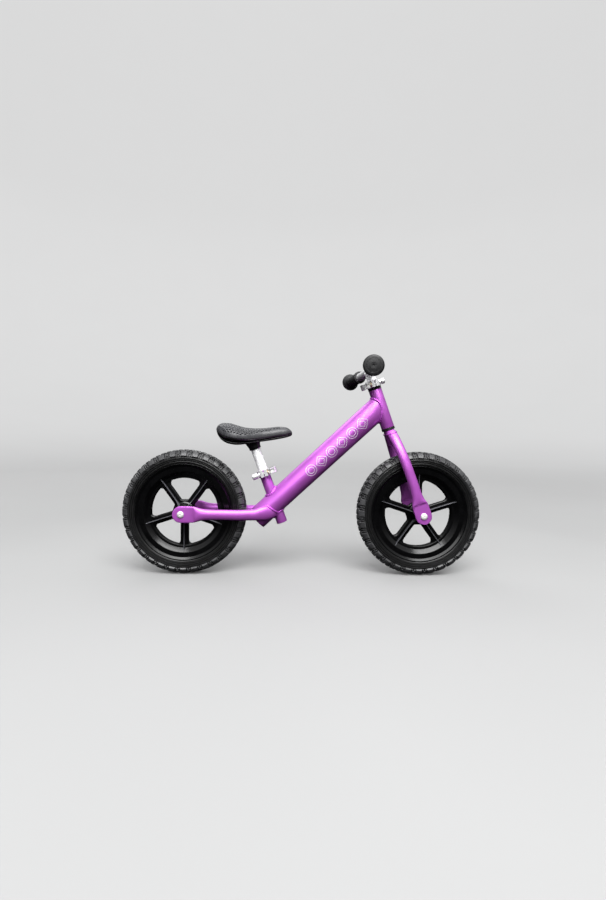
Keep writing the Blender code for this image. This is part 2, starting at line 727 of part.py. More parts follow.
def make_grip(side, hand):
    start, end = bar_point(side * GRIP_START), bar_point(side * GRIP_END)
    turn = Vector((0, 0, 1)).rotation_difference(end - start).to_euler()
    axis = axis_empty("grip_axis_" + hand, start, turn, steering)
    length = (end - start).length
    hole = BAR_RADIUS + GAP
    profile = [
        (0, length),
        (0.0150, length),
        (0.0205, length - 0.0015),
        (0.0222, length - 0.0042),
        (0.0205, length - 0.0070),
        (GRIP_RADIUS, length - 0.0120),
        (GRIP_RADIUS, 0.0100),
        (0.0185, 0.0060),
        (0.0185, 0.0015),
        (0.0170, 0),
        (hole, 0),
        (hole, length - 0.0060),
        (0, length - 0.0060),
    ]
    turned("grip_" + hand, profile, axis, rubber, 20, closed=False)


# ---- assembly -----------------------------------------------------------------------------------------------

clear_file()
parts = collection("balance_bike")
cutters = collection("cutters")

violet = material("violet_paint", (0.33, 0.035, 0.40), 0.32, 0.6)
silver = material("silver_aluminium", (0.80, 0.80, 0.82), 0.25, 1.0)
silver_grey = material("grey_aluminium", (0.45, 0.45, 0.46), 0.35, 1.0)
steel = material("bright_steel", (0.62, 0.62, 0.62), 0.22, 1.0)
brass = material("brass", (0.72, 0.55, 0.30), 0.30, 1.0)
nylon = material("black_nylon", (0.010, 0.010, 0.011), 0.25, 0.0)
foam = material("black_foam_tyre", (0.018, 0.018, 0.019), 0.75, 0.0)
rubber = material("black_rubber", (0.015, 0.015, 0.016), 0.55, 0.0)
padding = material("black_padding", (0.020, 0.020, 0.020), 0.60, 0.0)
plastic = material("black_plastic", (0.013, 0.013, 0.014), 0.40, 0.0)

steering = upright_axis("steering_axis", HEAD_TOP, HEAD_TILT)
seat_axis = upright_axis("seat_axis", SEAT_TUBE_TOP, SEAT_TILT)
rear_axis = crosswise_axis("rear_axis", (-WHEELBASE / 2, 0, TYRE_RADIUS))
front_axis = crosswise_axis("front_axis", (WHEELBASE / 2, 0, TYRE_RADIUS))

seat_tube_room = rod("seat_tube_room", (0, 0, -0.15), (0, 0, 0.05), SEAT_TUBE_RADIUS + GAP, seat_axis)
main_tube_room = make_main_tube(seat_tube_room)
make_head_tube()
make_seat_tube()
make_steerer()
for side, hand in ((-1, "right"), (1, "left")):
    make_chainstay(side, hand, (main_tube_room, seat_tube_room))
    make_fork_leg(side, hand)
make_axle("rear", rear_axis)
make_axle("front", front_axis)
make_wheel("rear", rear_axis, radians(90))
make_wheel("front", front_axis, radians(-90))
make_clamp("seat_clamp", seat_axis, 0.0004, 0.0165, 0.0158, 0.0085, -1, 0.0195)
make_clamp("bar_clamp", steering, RING_HEIGHT + GAP, 0.0235, 0.0170, 0.0140, 1, 0.0140)
make_seat()
make_handlebar()
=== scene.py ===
"""The looks of a child's balance bike, built around its CAD model.

Metres, in the CAD model's frame: +X is forwards, +Y is the rider's left, +Z is up.
"""

import json
from math import asin, atan2, cos, dist, hypot, pi, radians, sin, sqrt, tan

import bmesh
import bpy
from mathutils import Matrix, Vector


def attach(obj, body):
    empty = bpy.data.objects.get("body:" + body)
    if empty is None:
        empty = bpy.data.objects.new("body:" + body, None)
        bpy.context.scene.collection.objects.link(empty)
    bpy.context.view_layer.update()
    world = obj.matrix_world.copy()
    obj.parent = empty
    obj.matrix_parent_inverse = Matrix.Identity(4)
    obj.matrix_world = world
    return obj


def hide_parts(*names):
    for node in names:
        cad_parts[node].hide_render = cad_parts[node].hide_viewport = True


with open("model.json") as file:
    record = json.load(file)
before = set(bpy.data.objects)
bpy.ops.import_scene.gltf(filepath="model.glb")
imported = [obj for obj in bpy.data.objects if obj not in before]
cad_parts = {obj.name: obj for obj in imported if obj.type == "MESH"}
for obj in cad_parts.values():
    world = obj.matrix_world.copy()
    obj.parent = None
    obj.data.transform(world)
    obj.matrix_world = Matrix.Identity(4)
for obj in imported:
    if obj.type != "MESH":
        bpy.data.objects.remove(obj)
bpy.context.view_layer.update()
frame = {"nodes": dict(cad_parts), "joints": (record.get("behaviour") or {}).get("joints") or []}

# ---- dimensions, as in the CAD ----

HEAD_TILT = radians(19.6)
SEAT_TILT = radians(20.6)
HEAD_TUBE_RADIUS = 0.0155
HEAD_TUBE_BORE = 0.0143
HEAD_TUBE_LENGTH = 0.096
STEERER_RADIUS = 0.0127
RING_HEIGHT = 0.0062
MAIN_TUBE_RISE = radians(43.0)
MAIN_TUBE_LOW = Vector((-0.1084, 0, 0.1304))
MAIN_TUBE_RADII = (0.026, 0.028)
SEAT_TUBE_TOP = Vector((-0.0885, 0, 0.2337))
SEAT_TUBE_RADIUS = 0.0127
POST_BORE = 0.0114                # the inner radius of the seat tube and the steerer
SEAT_TUBE_BELOW = 0.118
POST_RADIUS = 0.0111
POST_WALL = 0.0015
DROPOUT_OFFSET = 0.0515
DROPOUT_FLAT = 0.003              # half of a dropout's thickness
DROPOUT_RADIUS = 0.019
BAR_RISE = 0.045
BAR_RADIUS = 0.0101
BAR_SWEEP = radians(9.6)
BAR_STRAIGHT = 0.035
GRIP_START = 0.084
GRIP_END = 0.17
GRIP_RADIUS = 0.014
GAP = 0.0003
SIDES = ((-1, "right"), (1, "left"))

joints = {joint["name"]: joint for joint in frame["joints"]}
HEAD_TOP = Vector(joints["steering"]["pos_m"])
FRONT_AXLE = Vector(joints["front_wheel_spin"]["pos_m"])
REAR_AXLE = Vector(joints["rear_wheel_spin"]["pos_m"])
TYRE_RADIUS = REAR_AXLE.z


def leaning(origin, tilt):
    """A frame whose Z axis leans back from upright and whose X axis is forwards."""
    return Matrix.Translation(origin) @ Matrix.Rotation(-tilt, 4, "Y")


def crosswise(origin):
    """A frame whose Z axis points to the left and whose Y axis points down."""
    return Matrix.Translation(origin) @ Matrix.Rotation(-pi / 2, 4, "X")


STEERING = leaning(HEAD_TOP, HEAD_TILT)
SEAT = leaning(SEAT_TUBE_TOP, SEAT_TILT)
MAIN_TUBE = Matrix.Translation(MAIN_TUBE_LOW) @ Matrix.Rotation(pi / 2 - MAIN_TUBE_RISE, 4, "Y")

# ---- shapes ----

WELD_RIPPLE = 0.0044


def turns(count):
    """Evenly spaced angles round a circle."""
    return [2 * pi * i / count for i in range(count)]


class Shape:
    """The points and faces of one piece, added one closed part at a time."""

    def __init__(self):
        self.points = []
        self.faces = []

    def rows(self, rows, wrap=False, place=None):
        """Joins closed loops of points in order. Both ends are capped, unless wrap joins them."""
        base = len(self.points)
        size = len(rows[0])
        for row in rows:
            self.points += [tuple(place @ Vector(p)) if place else tuple(p) for p in row]
        count = len(rows)
        for k in range(count if wrap else count - 1):
            a = base + k * size
            b = base + (k + 1) % count * size
            for i in range(size):
                j = (i + 1) % size
                self.faces.append((a + i, a + j, b + j, b + i))
        if not wrap:
            self.faces.append(tuple(range(base, base + size))[::-1])
            last = base + (count - 1) * size
            self.faces.append(tuple(range(last, last + size)))
        return self

    def turned(self, profile, steps=64, wrap=True, place=None):
        """A profile of (radius, height) turned about Z. wrap is for a closed profile, such as a ring's."""
        rows = [[(r * cos(a), r * sin(a), z) for a in turns(steps)] for r, z in profile]
        return self.rows(rows, wrap, place)

    def plate(self, outline, low, high, place=None):
        """A flat outline in X and Y, from one height to another."""
        return self.rows([[(x, y, z) for x, y in outline] for z in (low, high)], False, place)


def smooth_step(x):
    x = min(max(x, 0), 1)
    return x * x * (3 - 2 * x)


def circle(radius, steps, middle=0.0):
    """Points round a circle whose centre is moved along the first axis."""
    return [(middle + radius * cos(a), radius * sin(a)) for a in turns(steps)]


def oval(half_width, half_height, squareness, steps):
    """Points of a superellipse, the first on the +width side."""
    def share(x):
        return abs(x) ** (2 / squareness) * (1 if x >= 0 else -1)

    return [(half_width * share(cos(a)), half_height * share(sin(a))) for a in turns(steps)]


def rounded(corners, steps=5, closed=True):
    """An outline from corners of (x, y, radius), each rounded to its radius. Radius 0 keeps it sharp."""
    outline = []
    places = [Vector(corner[:2]) for corner in corners]
    for i, here in enumerate(places):
        radius = corners[i][2]
        back = (places[i - 1] - here).normalized()
        ahead = (places[(i + 1) % len(places)] - here).normalized()
        is_end = not closed and i in (0, len(places) - 1)
        if radius == 0 or is_end or back.angle(ahead) > radians(178):
            outline.append(tuple(here))
            continue
        half = back.angle(ahead) / 2
        centre = here + (back + ahead).normalized() * radius / sin(half)
        start = here + back * radius / tan(half) - centre
        end = here + ahead * radius / tan(half) - centre
        first = atan2(start.y, start.x)
        sweep = (atan2(end.y, end.x) - first + pi) % (2 * pi) - pi
        for k in range(steps + 1):
            angle = first + sweep * k / steps
            outline.append((centre.x + radius * cos(angle), centre.y + radius * sin(angle)))
    return outline


def eased(table, count):
    """More rows between a table's, eased without overshoot. Its first column says how far along a row is."""
    spans = [b[0] - a[0] for a, b in zip(table, table[1:])]
    slopes = []
    for column in zip(*table):
        steep = [(b - a) / h for a, b, h in zip(column, column[1:], spans)]
        middle = [0 if a * b <= 0 else 2 * a * b / (a + b) for a, b in zip(steep, steep[1:])]
        slopes.append(steep[:1] + middle + steep[-1:])
    made = []
    for k in range(count + 1):
        at = table[0][0] + (table[-1][0] - table[0][0]) * k / count
        i = max(n for n in range(len(spans)) if table[n][0] <= at + 1e-12)
        h = spans[i]
        t = (at - table[i][0]) / h
        row = []
        for a, b, slope in zip(table[i], table[i + 1], slopes):
            value = (2 * t**3 - 3 * t**2 + 1) * a + (t**3 - 2 * t**2 + t) * (slope[i] * h)
            value += (-2 * t**3 + 3 * t**2) * b + (t**3 - t**2) * (slope[i + 1] * h)
            row.append(value)
        made.append(row)
    return made


def resampled(loop, pitch):
    """Evenly spaced points round a closed loop."""
    points = [Vector(p) for p in loop]
    ends = points[1:] + points[:1]
    lengths = [(b - a).length for a, b in zip(points, ends)]
    total = sum(lengths)
    count = max(12, round(total / pitch))
    made = []
    i, passed = 0, 0.0
    for k in range(count):
        at = total * k / count
        while passed + lengths[i] < at:
            passed += lengths[i]
            i += 1
        share = (at - passed) / lengths[i] if lengths[i] else 0
        made.append(points[i].lerp(ends[i], share))
    return made


def relaxed(loop, times):
    """A closed loop with its corners eased."""
    for _ in range(times):
        around = zip(loop[-1:] + loop[:-1], loop, loop[1:] + loop[:1])
        loop = [(a + b * 2 + c) / 4 for a, b, c in around]
    return loop


def ring(centre, side, other, radius, sides):
    return [centre + (side * cos(a) + other * sin(a)) * radius for a in turns(sides)]


def weld(shape, loop, radius):
    """A welded bead along a closed loop of world points, rippled like a row of small overlapping scales."""
    line = relaxed(resampled(loop, 0.0006), 6)
    count = len(line)
    length = sum((b - a).length for a, b in zip(line, line[1:] + line[:1]))
    ripples = max(1, round(length / WELD_RIPPLE))
    rows = []
    side = None
    for k in range(count):
        along = (line[(k + 1) % count] - line[k - 1]).normalized()
        if side is None:
            side = along.orthogonal().normalized()
        side = (side - along * side.dot(along)).normalized()
        place = k * ripples / count % 1
        size = radius * (0.8 + 0.2 * sqrt(max(0, 1 - (2 * place - 1) ** 2)))
        rows.append(ring(line[k], side, along.cross(side), size, 10))
    shape.rows(rows, wrap=True)


def swept(shape, line, radius):
    """A round bar along a line that stays clear of the vertical."""
    line = [Vector(p) for p in line]
    rows = []
    for before, here, after in zip(line[:1] + line[:-1], line, line[1:] + line[-1:]):
        along = (after - before).normalized()
        side = along.cross(Vector((0, 0, 1))).normalized()
        rows.append(ring(here, side, along.cross(side), radius, 48))
    shape.rows(rows)


def add_object(name, data):
    made = bpy.data.objects.new(name, data)
    bpy.context.scene.collection.objects.link(made)
    return made


def new_mesh(name, points, faces):
    mesh = bpy.data.meshes.new(name)
    mesh.from_pydata(points, [], faces)
    return mesh


def final_mesh(made):
    """A copy of an object's mesh as its modifiers or curve settings leave it."""
    bpy.context.view_layer.update()
    return bpy.data.meshes.new_from_object(made.evaluated_get(bpy.context.evaluated_depsgraph_get()))


def cut_out(mesh, cutter):
    """The mesh with the space of a cutter's shape taken out."""
    whole = add_object("whole", mesh)
    tool = add_object("cutter", new_mesh("cutter", cutter.points, cutter.faces))
    cut = whole.modifiers.new("cut", "BOOLEAN")
    cut.operation = "DIFFERENCE"
    cut.solver = "EXACT"
    cut.object = tool
    result = final_mesh(whole)
    for made in (whole, tool):
        bpy.data.objects.remove(made)
    return result


def piece(name, shape, look, body, node=None, place=None, sharp=38, bevel=0, cutter=None):
    """Makes a shape into an object that rides on a body, stands for a CAD node and has a look."""
    mesh = new_mesh(name, shape.points, shape.faces)
    cleaned = bmesh.new()
    cleaned.from_mesh(mesh)
    bmesh.ops.remove_doubles(cleaned, verts=cleaned.verts, dist=1e-6)
    bmesh.ops.recalc_face_normals(cleaned, faces=cleaned.faces)
    cleaned.to_mesh(mesh)
    cleaned.free()
    if place:
        mesh.transform(place)
    if cutter:
        mesh = cut_out(mesh, cutter)
    mesh.shade_smooth()
    mesh.set_sharp_from_angle(angle=radians(sharp))
    mesh.materials.append(look["material"])
    made = add_object(name, mesh)
    if bevel:
        edge = made.modifiers.new("edges", "BEVEL")
        edge.width = bevel
        edge.segments = 3
        edge.limit_method = "ANGLE"
        edge.angle_limit = radians(sharp)
        edge.harden_normals = True
    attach(made, body)
    if node:
        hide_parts(node)
    return made


# ---- looks ----


def add_node(tree, kind, values={}, operation=None, **links):
    """A node with values for its inputs, and links into the inputs that are named in lower case."""
    made = tree.nodes.new("ShaderNode" + kind)
    if operation:
        made.operation = operation
    for name, value in values.items():
        made.inputs[name].default_value = value
    for name, socket in links.items():
        tree.links.new(socket, made.inputs[name.capitalize()])
    return made


def noise(look, scale, detail):
    """A noise over the object, at a scale in waves per metre."""
    made = add_node(look["tree"], "TexNoise", {"Scale": scale, "Detail": detail}, vector=look["place"])
    return made.outputs["Fac"]


def ramp(tree, factor, stops):
    """Colours along a factor. A stop is (place, colour), or (place, number)."""
    made = add_node(tree, "ValToRGB", fac=factor)
    elements = made.color_ramp.elements
    for i, (at, value) in enumerate(stops):
        element = elements[i] if i < 2 else elements.new(at)
        element.position = at
        element.color = (*value, 1) if isinstance(value, tuple) else (value, value, value, 1)
    return made.outputs["Color"]


def add_bump(look, height, distance, strength):
    """A bump over any that the look has already."""
    tree, normal = look["tree"], look["shader"].inputs["Normal"]
    links = {"normal": normal.links[0].from_socket} if normal.is_linked else {}
    made = add_node(tree, "Bump", {"Distance": distance, "Strength": strength}, height=height, **links)
    tree.links.new(made.outputs["Normal"], normal)


def make_look(name, slot, colour, roughness=None, bumps=(), metallic=0.0, coat=0.0, ior=1.5):
    """A procedural look.

    colour is a noise's scale and detail and two stops, roughness is a noise's scale and detail and the lowest
    and highest value, and a bump is a noise's scale and detail, with a distance and a strength.
    """
    material = bpy.data.materials.new(name)
    material.use_nodes = True
    tree = material.node_tree
    shader = tree.nodes["Principled BSDF"]
    values = {"Metallic": metallic, "Coat Weight": coat, "Coat Roughness": 0.3, "IOR": ior}
    for key, value in values.items():
        shader.inputs[key].default_value = value
    place = tree.nodes.new("ShaderNodeTexCoord").outputs["Object"]
    look = {"material": material, "slot": slot, "tree": tree, "shader": shader, "place": place}
    tree.links.new(ramp(tree, noise(look, *colour[:2]), colour[2:]), shader.inputs["Base Color"])
    if roughness:
        scale, detail, low, high = roughness
        limits = {"To Min": low, "To Max": high, "From Min": 0.3, "From Max": 0.7}
        spread = add_node(tree, "MapRange", limits, value=noise(look, scale, detail))
        tree.links.new(spread.outputs["Result"], shader.inputs["Roughness"])
    for scale, detail, distance, strength in bumps:
        add_bump(look, noise(look, scale, detail), distance, strength)
    return look


def metal_look(name, slot, low, high, roughness, metallic):
    """Bare metal with fine rubbed marks."""
    bumps = [(900, 4, 0.00003, 0.2)]
    return make_look(name, slot, (60, 4, (0.3, low), (0.7, high)), (900, 4, *roughness), bumps, metallic)


def foam_look(name, low, high):
    """Foam rubber: matt, with fine pores."""
    colour = (70, 6, (0.35, (low, low, low * 1.04)), (0.75, (high, high, high * 1.04)))
    bumps = [(2200, 3, 0.00012, 0.45), (420, 2, 0.00015, 0.3)]
    return make_look(name, "black_foam_tyre", colour, (300, 4, 0.3, 0.46), bumps)


def nylon_look(name, low, high, roughness):
    """Glossy moulded nylon, with a faint orange-peel skin."""
    colour = (45, 4, (0.3, (low, low, low * 1.15)), (0.7, (high, high, high * 1.12)))
    return make_look(name, "black_nylon", colour, (160, 4, *roughness), [(520, 2, 0.00005, 0.22)], ior=1.42)


def saddle_look():
    """A moulded rubbery skin: satin, with a fine leather-like grain."""
    colour = (90, 5, (0.3, (0.042, 0.042, 0.046)), (0.7, (0.055, 0.055, 0.06)))
    look = make_look("saddle_skin", "black_padding", colour, (420, 4, 0.3, 0.42))
    cells = add_node(look["tree"], "TexVoronoi", {"Scale": 1100}, vector=look["place"])
    cells.feature = "DISTANCE_TO_EDGE"
    add_bump(look, cells.outputs["Distance"], 0.0001, 0.5)
    add_bump(look, noise(look, 260, 3), 0.0002, 0.25)
    return look


# satin anodised violet, with a fine blasted grain
paint = make_look(
    "violet_anodised", "violet_paint", (38, 5, (0.3, (0.52, 0.112, 0.59)), (0.72, (0.58, 0.13, 0.65))),
    (90, 4, 0.4, 0.47), [(2600, 2, 0.00004, 0.35)], metallic=0.6, coat=0.5)
# the same finish on the welds, rougher than on the tubes
welds = make_look(
    "violet_weld", "violet_paint", (500, 3, (0.3, (0.55, 0.1, 0.64)), (0.72, (0.66, 0.14, 0.73))),
    (900, 3, 0.28, 0.46), [(1500, 3, 0.00012, 0.5)], metallic=0.6)
SILVER, ALLOY = (0.88, 0.88, 0.89), (0.74, 0.74, 0.75)
silver = metal_look("silver_posts", "silver_aluminium", SILVER, (0.94, 0.94, 0.95), (0.4, 0.5), 0.1)
clamp_metal = metal_look("clamp_alloy", "silver_aluminium", ALLOY, (0.82, 0.82, 0.83), (0.3, 0.4), 0.5)
bar_metal = metal_look("bar_alloy", "grey_aluminium", ALLOY, (0.81, 0.81, 0.82), (0.32, 0.42), 0.3)
steel = metal_look("bolt_steel", "bright_steel", (0.8, 0.8, 0.78), (0.9, 0.9, 0.88), (0.3, 0.42), 0.3)
brass = metal_look("washer_brass", "brass", (0.66, 0.5, 0.27), (0.78, 0.62, 0.36), (0.25, 0.4), 1.0)
foam = foam_look("foam_tyre", 0.0035, 0.0085)
# the same black foam, painted lighter for the lugs: a painted highlight standing in for the light their tops
# catch from above
lug_highlight_foam = foam_look("lug_highlight_foam", 0.034, 0.07)
nylon = nylon_look("moulded_nylon", 0.001, 0.0022, (0.16, 0.24))
# the same moulded nylon, painted lighter for the ribs: a painted highlight standing in for the light along
# their crests
rib_highlight_nylon = nylon_look("rib_highlight_nylon", 0.06, 0.095, (0.26, 0.36))
rubber = make_look(
    "grip_rubber", "black_rubber", (120, 4, (0.3, (0.005, 0.005, 0.006)), (0.7, (0.01, 0.01, 0.011))),
    (350, 4, 0.38, 0.52), [(3000, 2, 0.00008, 0.45)])
skin = saddle_look()
plastic = make_look(
    "saddle_plastic", "black_plastic", (80, 4, (0.3, (0.0025, 0.0025, 0.003)), (0.7, (0.005, 0.005, 0.0056))),
    (500, 4, 0.28, 0.4), [(1800, 2, 0.00008, 0.5)])
white_print = make_look(
    "white_print", "violet_paint", (900, 4, (0.25, (0.8, 0.76, 0.82)), (0.55, (0.9, 0.89, 0.91))),
    (600, 3, 0.35, 0.5))

# ---- camera and studio ----


def make_camera():
    camera = bpy.data.cameras.new("camera")
    camera.sensor_width = 36
    camera.lens = 19.12
    camera.shift_x = 0.01578
    camera.shift_y = -0.00844
    camera.clip_start = 0.02
    camera.clip_end = 60
    made = add_object("camera", camera)
    made.location = (-0.0528, -1.148, 0.3359)
    made.rotation_euler = (radians(88.96), radians(-0.63), radians(-0.979))
    bpy.context.scene.camera = made


def make_backdrop():
    """A pale floor that curves up into a wall all round. It glows more with distance, as the lamps fade."""
    flat, bend, height = 4.0, 5.0, 18.0
    curve = [pi / 2 * k / 16 for k in range(17)]
    profile = [(0.4, 0), (1.2, 0), (2.5, 0)]
    profile += [(flat + bend * sin(a), bend * (1 - cos(a))) for a in curve] + [(flat + bend, height)]
    shape = Shape().turned(profile, 96, wrap=False)
    mesh = new_mesh("studio_backdrop", shape.points, shape.faces[:-1])
    mesh.shade_smooth()
    made = add_object("studio_backdrop", mesh)
    made.visible_glossy = False
    made.visible_diffuse = False
    made.visible_shadow = False
    colour = (1.5, 2, (0.3, (0.31, 0.31, 0.31)), (0.7, (0.32, 0.32, 0.32)))
    look = make_look("backdrop_paper", "black_plastic", colour)
    tree, shader = look["tree"], look["shader"]
    far = add_node(tree, "VectorMath", operation="LENGTH", vector=look["place"])
    share = add_node(tree, "MapRange", {"From Max": height}, value=far.outputs["Value"])
    stops = [(0.06, 0.05), (0.24, 0.3), (0.32, 0.42), (0.55, 0.58), (1.0, 0.66)]
    glow = ramp(tree, share.outputs["Result"], stops)
    tree.links.new(glow, shader.inputs["Emission Color"])
    for name, value in (("Emission Strength", 1.0), ("Roughness", 0.9), ("Specular IOR Level", 0.0)):
        shader.inputs[name].default_value = value
    mesh.materials.append(look["material"])


def make_studio():
    """A soft sky, brighter above and on the camera's side, and soft lamps."""
    world = bpy.data.worlds.new("soft_sky")
    bpy.context.scene.world = world
    world.use_nodes = True
    tree = world.node_tree
    background = tree.nodes["Background"]
    place = tree.nodes.new("ShaderNodeTexCoord")
    split = add_node(tree, "SeparateXYZ", vector=place.outputs["Generated"])
    sky = add_node(tree, "MapRange", {"From Min": -1}, value=split.outputs["Z"])
    greys = [(0.0, 0.004), (0.45, 0.008), (0.5, 0.04), (0.62, 0.2), (0.8, 0.65), (1.0, 0.95)]
    stops = [(at, (grey * 0.98, grey * 0.99, grey)) for at, grey in greys]
    shades = ramp(tree, sky.outputs["Result"], stops)
    limits = {"From Min": -1, "To Min": 1.2, "To Max": 0.3}
    facing = add_node(tree, "MapRange", limits, value=split.outputs["Y"])
    brightness = facing.outputs["Result"]
    scaled = add_node(tree, "VectorMath", operation="SCALE", vector=shades, scale=brightness)
    tree.links.new(scaled.outputs["Vector"], background.inputs["Color"])
    background.inputs["Strength"].default_value = 1.3

    lamps = [
        # name, place, width, depth, power
        ("overhead", (0.5, -0.3, 2.9), 3.2, 2.2, 34),
        ("front", (0.2, -2.4, 3.1), 3.4, 2.0, 210),
        ("low_front", (-0.4, -3.2, 1.6), 2.4, 1.2, 30),
        ("back", (-1.0, 2.4, 2.6), 2.6, 1.4, 30),
    ]
    for name, location, width, depth, power in lamps:
        lamp = bpy.data.lights.new(name, "AREA")
        lamp.shape = "RECTANGLE"
        lamp.size = width
        lamp.size_y = depth
        lamp.energy = power
        made = add_object(name, lamp)
        made.location = location
        made.visible_camera = False
        made.rotation_euler = (Vector((0, 0, 0.2)) - Vector(location)).to_track_quat("-Z", "Y").to_euler()
    bpy.context.scene.view_settings.view_transform = "Standard"


make_camera()
make_backdrop()
make_studio()

# ---- main tube ----

ALONG = Vector((cos(MAIN_TUBE_RISE), 0, sin(MAIN_TUBE_RISE)))
ACROSS_HEAD = Vector((cos(HEAD_TILT), 0, sin(HEAD_TILT)))
MAIN_LENGTH = (HEAD_TOP - MAIN_TUBE_LOW).dot(ACROSS_HEAD) / ALONG.dot(ACROSS_HEAD)
# how far the mitre on the steering axis moves along the tube, for each metre from the tube's axis
MITRE = (MAIN_TUBE.to_3x3() @ Vector((1, 0, 0))).dot(ACROSS_HEAD) / ALONG.dot(ACROSS_HEAD)
NARROWING = 0.066                 # length of the part that narrows to the head tube
WIDTH_STEPS = 66
WIDTH_TABLE = [(0, 0.545), (0.016, 0.735), (0.032, 0.88), (0.048, 0.965), (NARROWING, 1.0)]
WIDTH_SHARES = [share for _, share in eased(WIDTH_TABLE, WIDTH_STEPS)]


def main_radius(place):
    low, high = MAIN_TUBE_RADII
    return low + (high - low) * place / MAIN_LENGTH


def width_share(back):
    """The tube's width as a share of its height, at a distance back from the steering axis."""
    if back >= NARROWING:
        return 1.0
    step = round(back / NARROWING * WIDTH_STEPS)
    return WIDTH_SHARES[min(WIDTH_STEPS - 1, max(0, step))]


def main_point(place, angle):
    """A world point of the tube's surface. Angle 0 is the left side, a quarter turn the front underside."""
    back = MAIN_LENGTH - place
    radius = main_radius(place)
    u = radius * width_share(back) * cos(angle)
    v = radius * sin(angle)
    shift = -MITRE * v * smooth_step(1 - back / NARROWING)
    return MAIN_TUBE @ Vector((v, u, place + shift))


def outside_main(point):
    """Below 0 inside the main tube, and above 0 outside it."""
    local = MAIN_TUBE.inverted() @ Vector(point)
    place = local.z
    for _ in range(3):
        place = local.z + MITRE * local.x * smooth_step(1 - (MAIN_LENGTH - place) / NARROWING)
    radius = main_radius(min(max(place, 0), MAIN_LENGTH))
    share = width_share(MAIN_LENGTH - place)
    return hypot(local.y / (radius * share), local.x / radius) - 1


def make_main_tube():
    angles = turns(96)
    rows = []
    # the open lower end, from inside the tube out to its rounded edge, as (depth in the wall, place)
    for depth, place in ((0.0018, 0.012), (0.0018, 0.0005), (0.0013, 0), (0.0006, 0)):
        radius = MAIN_TUBE_RADII[0] - depth
        rows.append([MAIN_TUBE @ Vector((radius * sin(a), radius * cos(a), place)) for a in angles])
    places = [0.0006, 0.02] + [0.02 + (MAIN_LENGTH - 0.09) * k / 40 for k in range(1, 40)]
    places += [MAIN_LENGTH - NARROWING * (1 - k / 30) for k in range(31)]
    rows += [[main_point(place, a) for a in angles] for place in places]
    # the seat tube goes right through, so its hole is cut inside its wall
    inside_wall = (POST_BORE + SEAT_TUBE_RADIUS) / 2
    ends = [(inside_wall, -SEAT_TUBE_BELOW - 0.01), (inside_wall, 0.02)]
    hole = Shape().turned(ends, 48, wrap=False, place=SEAT)
    piece("main_tube_skin", Shape().rows(rows), paint, "frame", "main_tube", sharp=50, cutter=hole)


# ---- welds ----


def first_crossing(points):
    """Where a line of points first crosses the main tube's surface, or None."""
    for a, b in zip(points, points[1:]):
        before, after = outside_main(a), outside_main(b)
        if before * after <= 0:
            return a.lerp(b, before / (before - after) if before != after else 0)


def tube_crossings(place, radius, high, low, angles):
    """Where lines down the side of an upright tube first cross the main tube, from high to low."""
    found = []
    for a in angles:
        start, end = (place @ Vector((radius * cos(a), radius * sin(a), height)) for height in (high, low))
        found.append(first_crossing([start.lerp(end, k / 60) for k in range(61)]))
    return [point for point in found if point]


def clear_of_bore(loop, radius):
    """The loop, with what would lie inside the seat tube pushed out to its side."""
    back = SEAT.inverted()
    least = SEAT_TUBE_RADIUS + radius - 0.0008
    moved = []
    for point in loop:
        local = back @ Vector(point)
        reach = hypot(local.x, local.y)
        if reach < least:
            local.x *= least / reach
            local.y *= least / reach
        moved.append(SEAT @ local)
    return moved


def make_frame_welds():
    shape = Shape()
    weld(shape, tube_crossings(SEAT, SEAT_TUBE_RADIUS + 0.0019, 0.01, -0.09, turns(60)), 0.003)
    below = tube_crossings(SEAT, SEAT_TUBE_RADIUS + 0.0012, -SEAT_TUBE_BELOW, -0.05, turns(60))
    weld(shape, below, 0.0023)
    behind = [radians(94 + 172 * i / 48) for i in range(49)]
    radius = HEAD_TUBE_RADIUS + 0.0004
    upper = tube_crossings(STEERING, radius, 0, -0.055, behind)
    lower = tube_crossings(STEERING, radius, -HEAD_TUBE_LENGTH, -0.035, behind)
    weld(shape, upper + lower[::-1], 0.0031)
    for side in (-1, 1):
        weld(shape, clear_of_bore(stay_crossings(side), 0.0028), 0.0028)
    piece("frame_welds", shape, welds, "frame", sharp=60)


# ---- head tube and seat tube ----


def make_sleeve(name, inner, outer, low, high, look, body, node, place):
    """A tube with eased edges."""
    edge = 0.0004
    corners = [(outer, low, edge), (outer, high, edge), (inner, high, edge), (inner, low, edge)]
    piece(name, Shape().turned(rounded(corners, 2), 72), look, body, node, place)


def make_dust_ring(name, low, high, node):
    """A rubber ring with a rounded lip and a groove round its middle."""
    inner, outer = STEERER_RADIUS + GAP, HEAD_TUBE_RADIUS + 0.0006
    middle, lip, edge = (low + high) / 2, 0.0006, 0.0002
    corners = [
        (outer, low, lip), (outer, middle - 0.0008, edge), (outer - 0.0007, middle - 0.0005, edge),
        (outer - 0.0007, middle + 0.0005, edge), (outer, middle + 0.0008, edge), (outer, high, lip),
        (inner, high, edge), (inner, low, edge),
    ]
    piece(name, Shape().turned(rounded(corners, 3), 72), rubber, "frame", node, STEERING)


def make_upright_tubes():
    bottom = -HEAD_TUBE_LENGTH
    tubes = [
        # name, inner radius, outer radius, lower end, upper end, body, node, place
        ("head_tube_skin", HEAD_TUBE_BORE, HEAD_TUBE_RADIUS, bottom, 0, "frame", "head_tube", STEERING),
        ("seat_tube_skin", POST_BORE, SEAT_TUBE_RADIUS, -SEAT_TUBE_BELOW, 0.016, "frame", "seat_tube", SEAT),
        ("steerer_skin", POST_BORE, STEERER_RADIUS, -0.14, 0.0225, "fork", "steerer_tube", STEERING),
    ]
    for name, inner, outer, low, high, body, node, place in tubes:
        make_sleeve(name, inner, outer, low, high, paint, body, node, place)
    make_dust_ring("dust_ring_upper", GAP, RING_HEIGHT, "headset_ring_upper")
    make_dust_ring("dust_ring_lower", bottom - RING_HEIGHT, bottom - GAP, "headset_ring_lower")


# ---- chainstays and fork legs ----

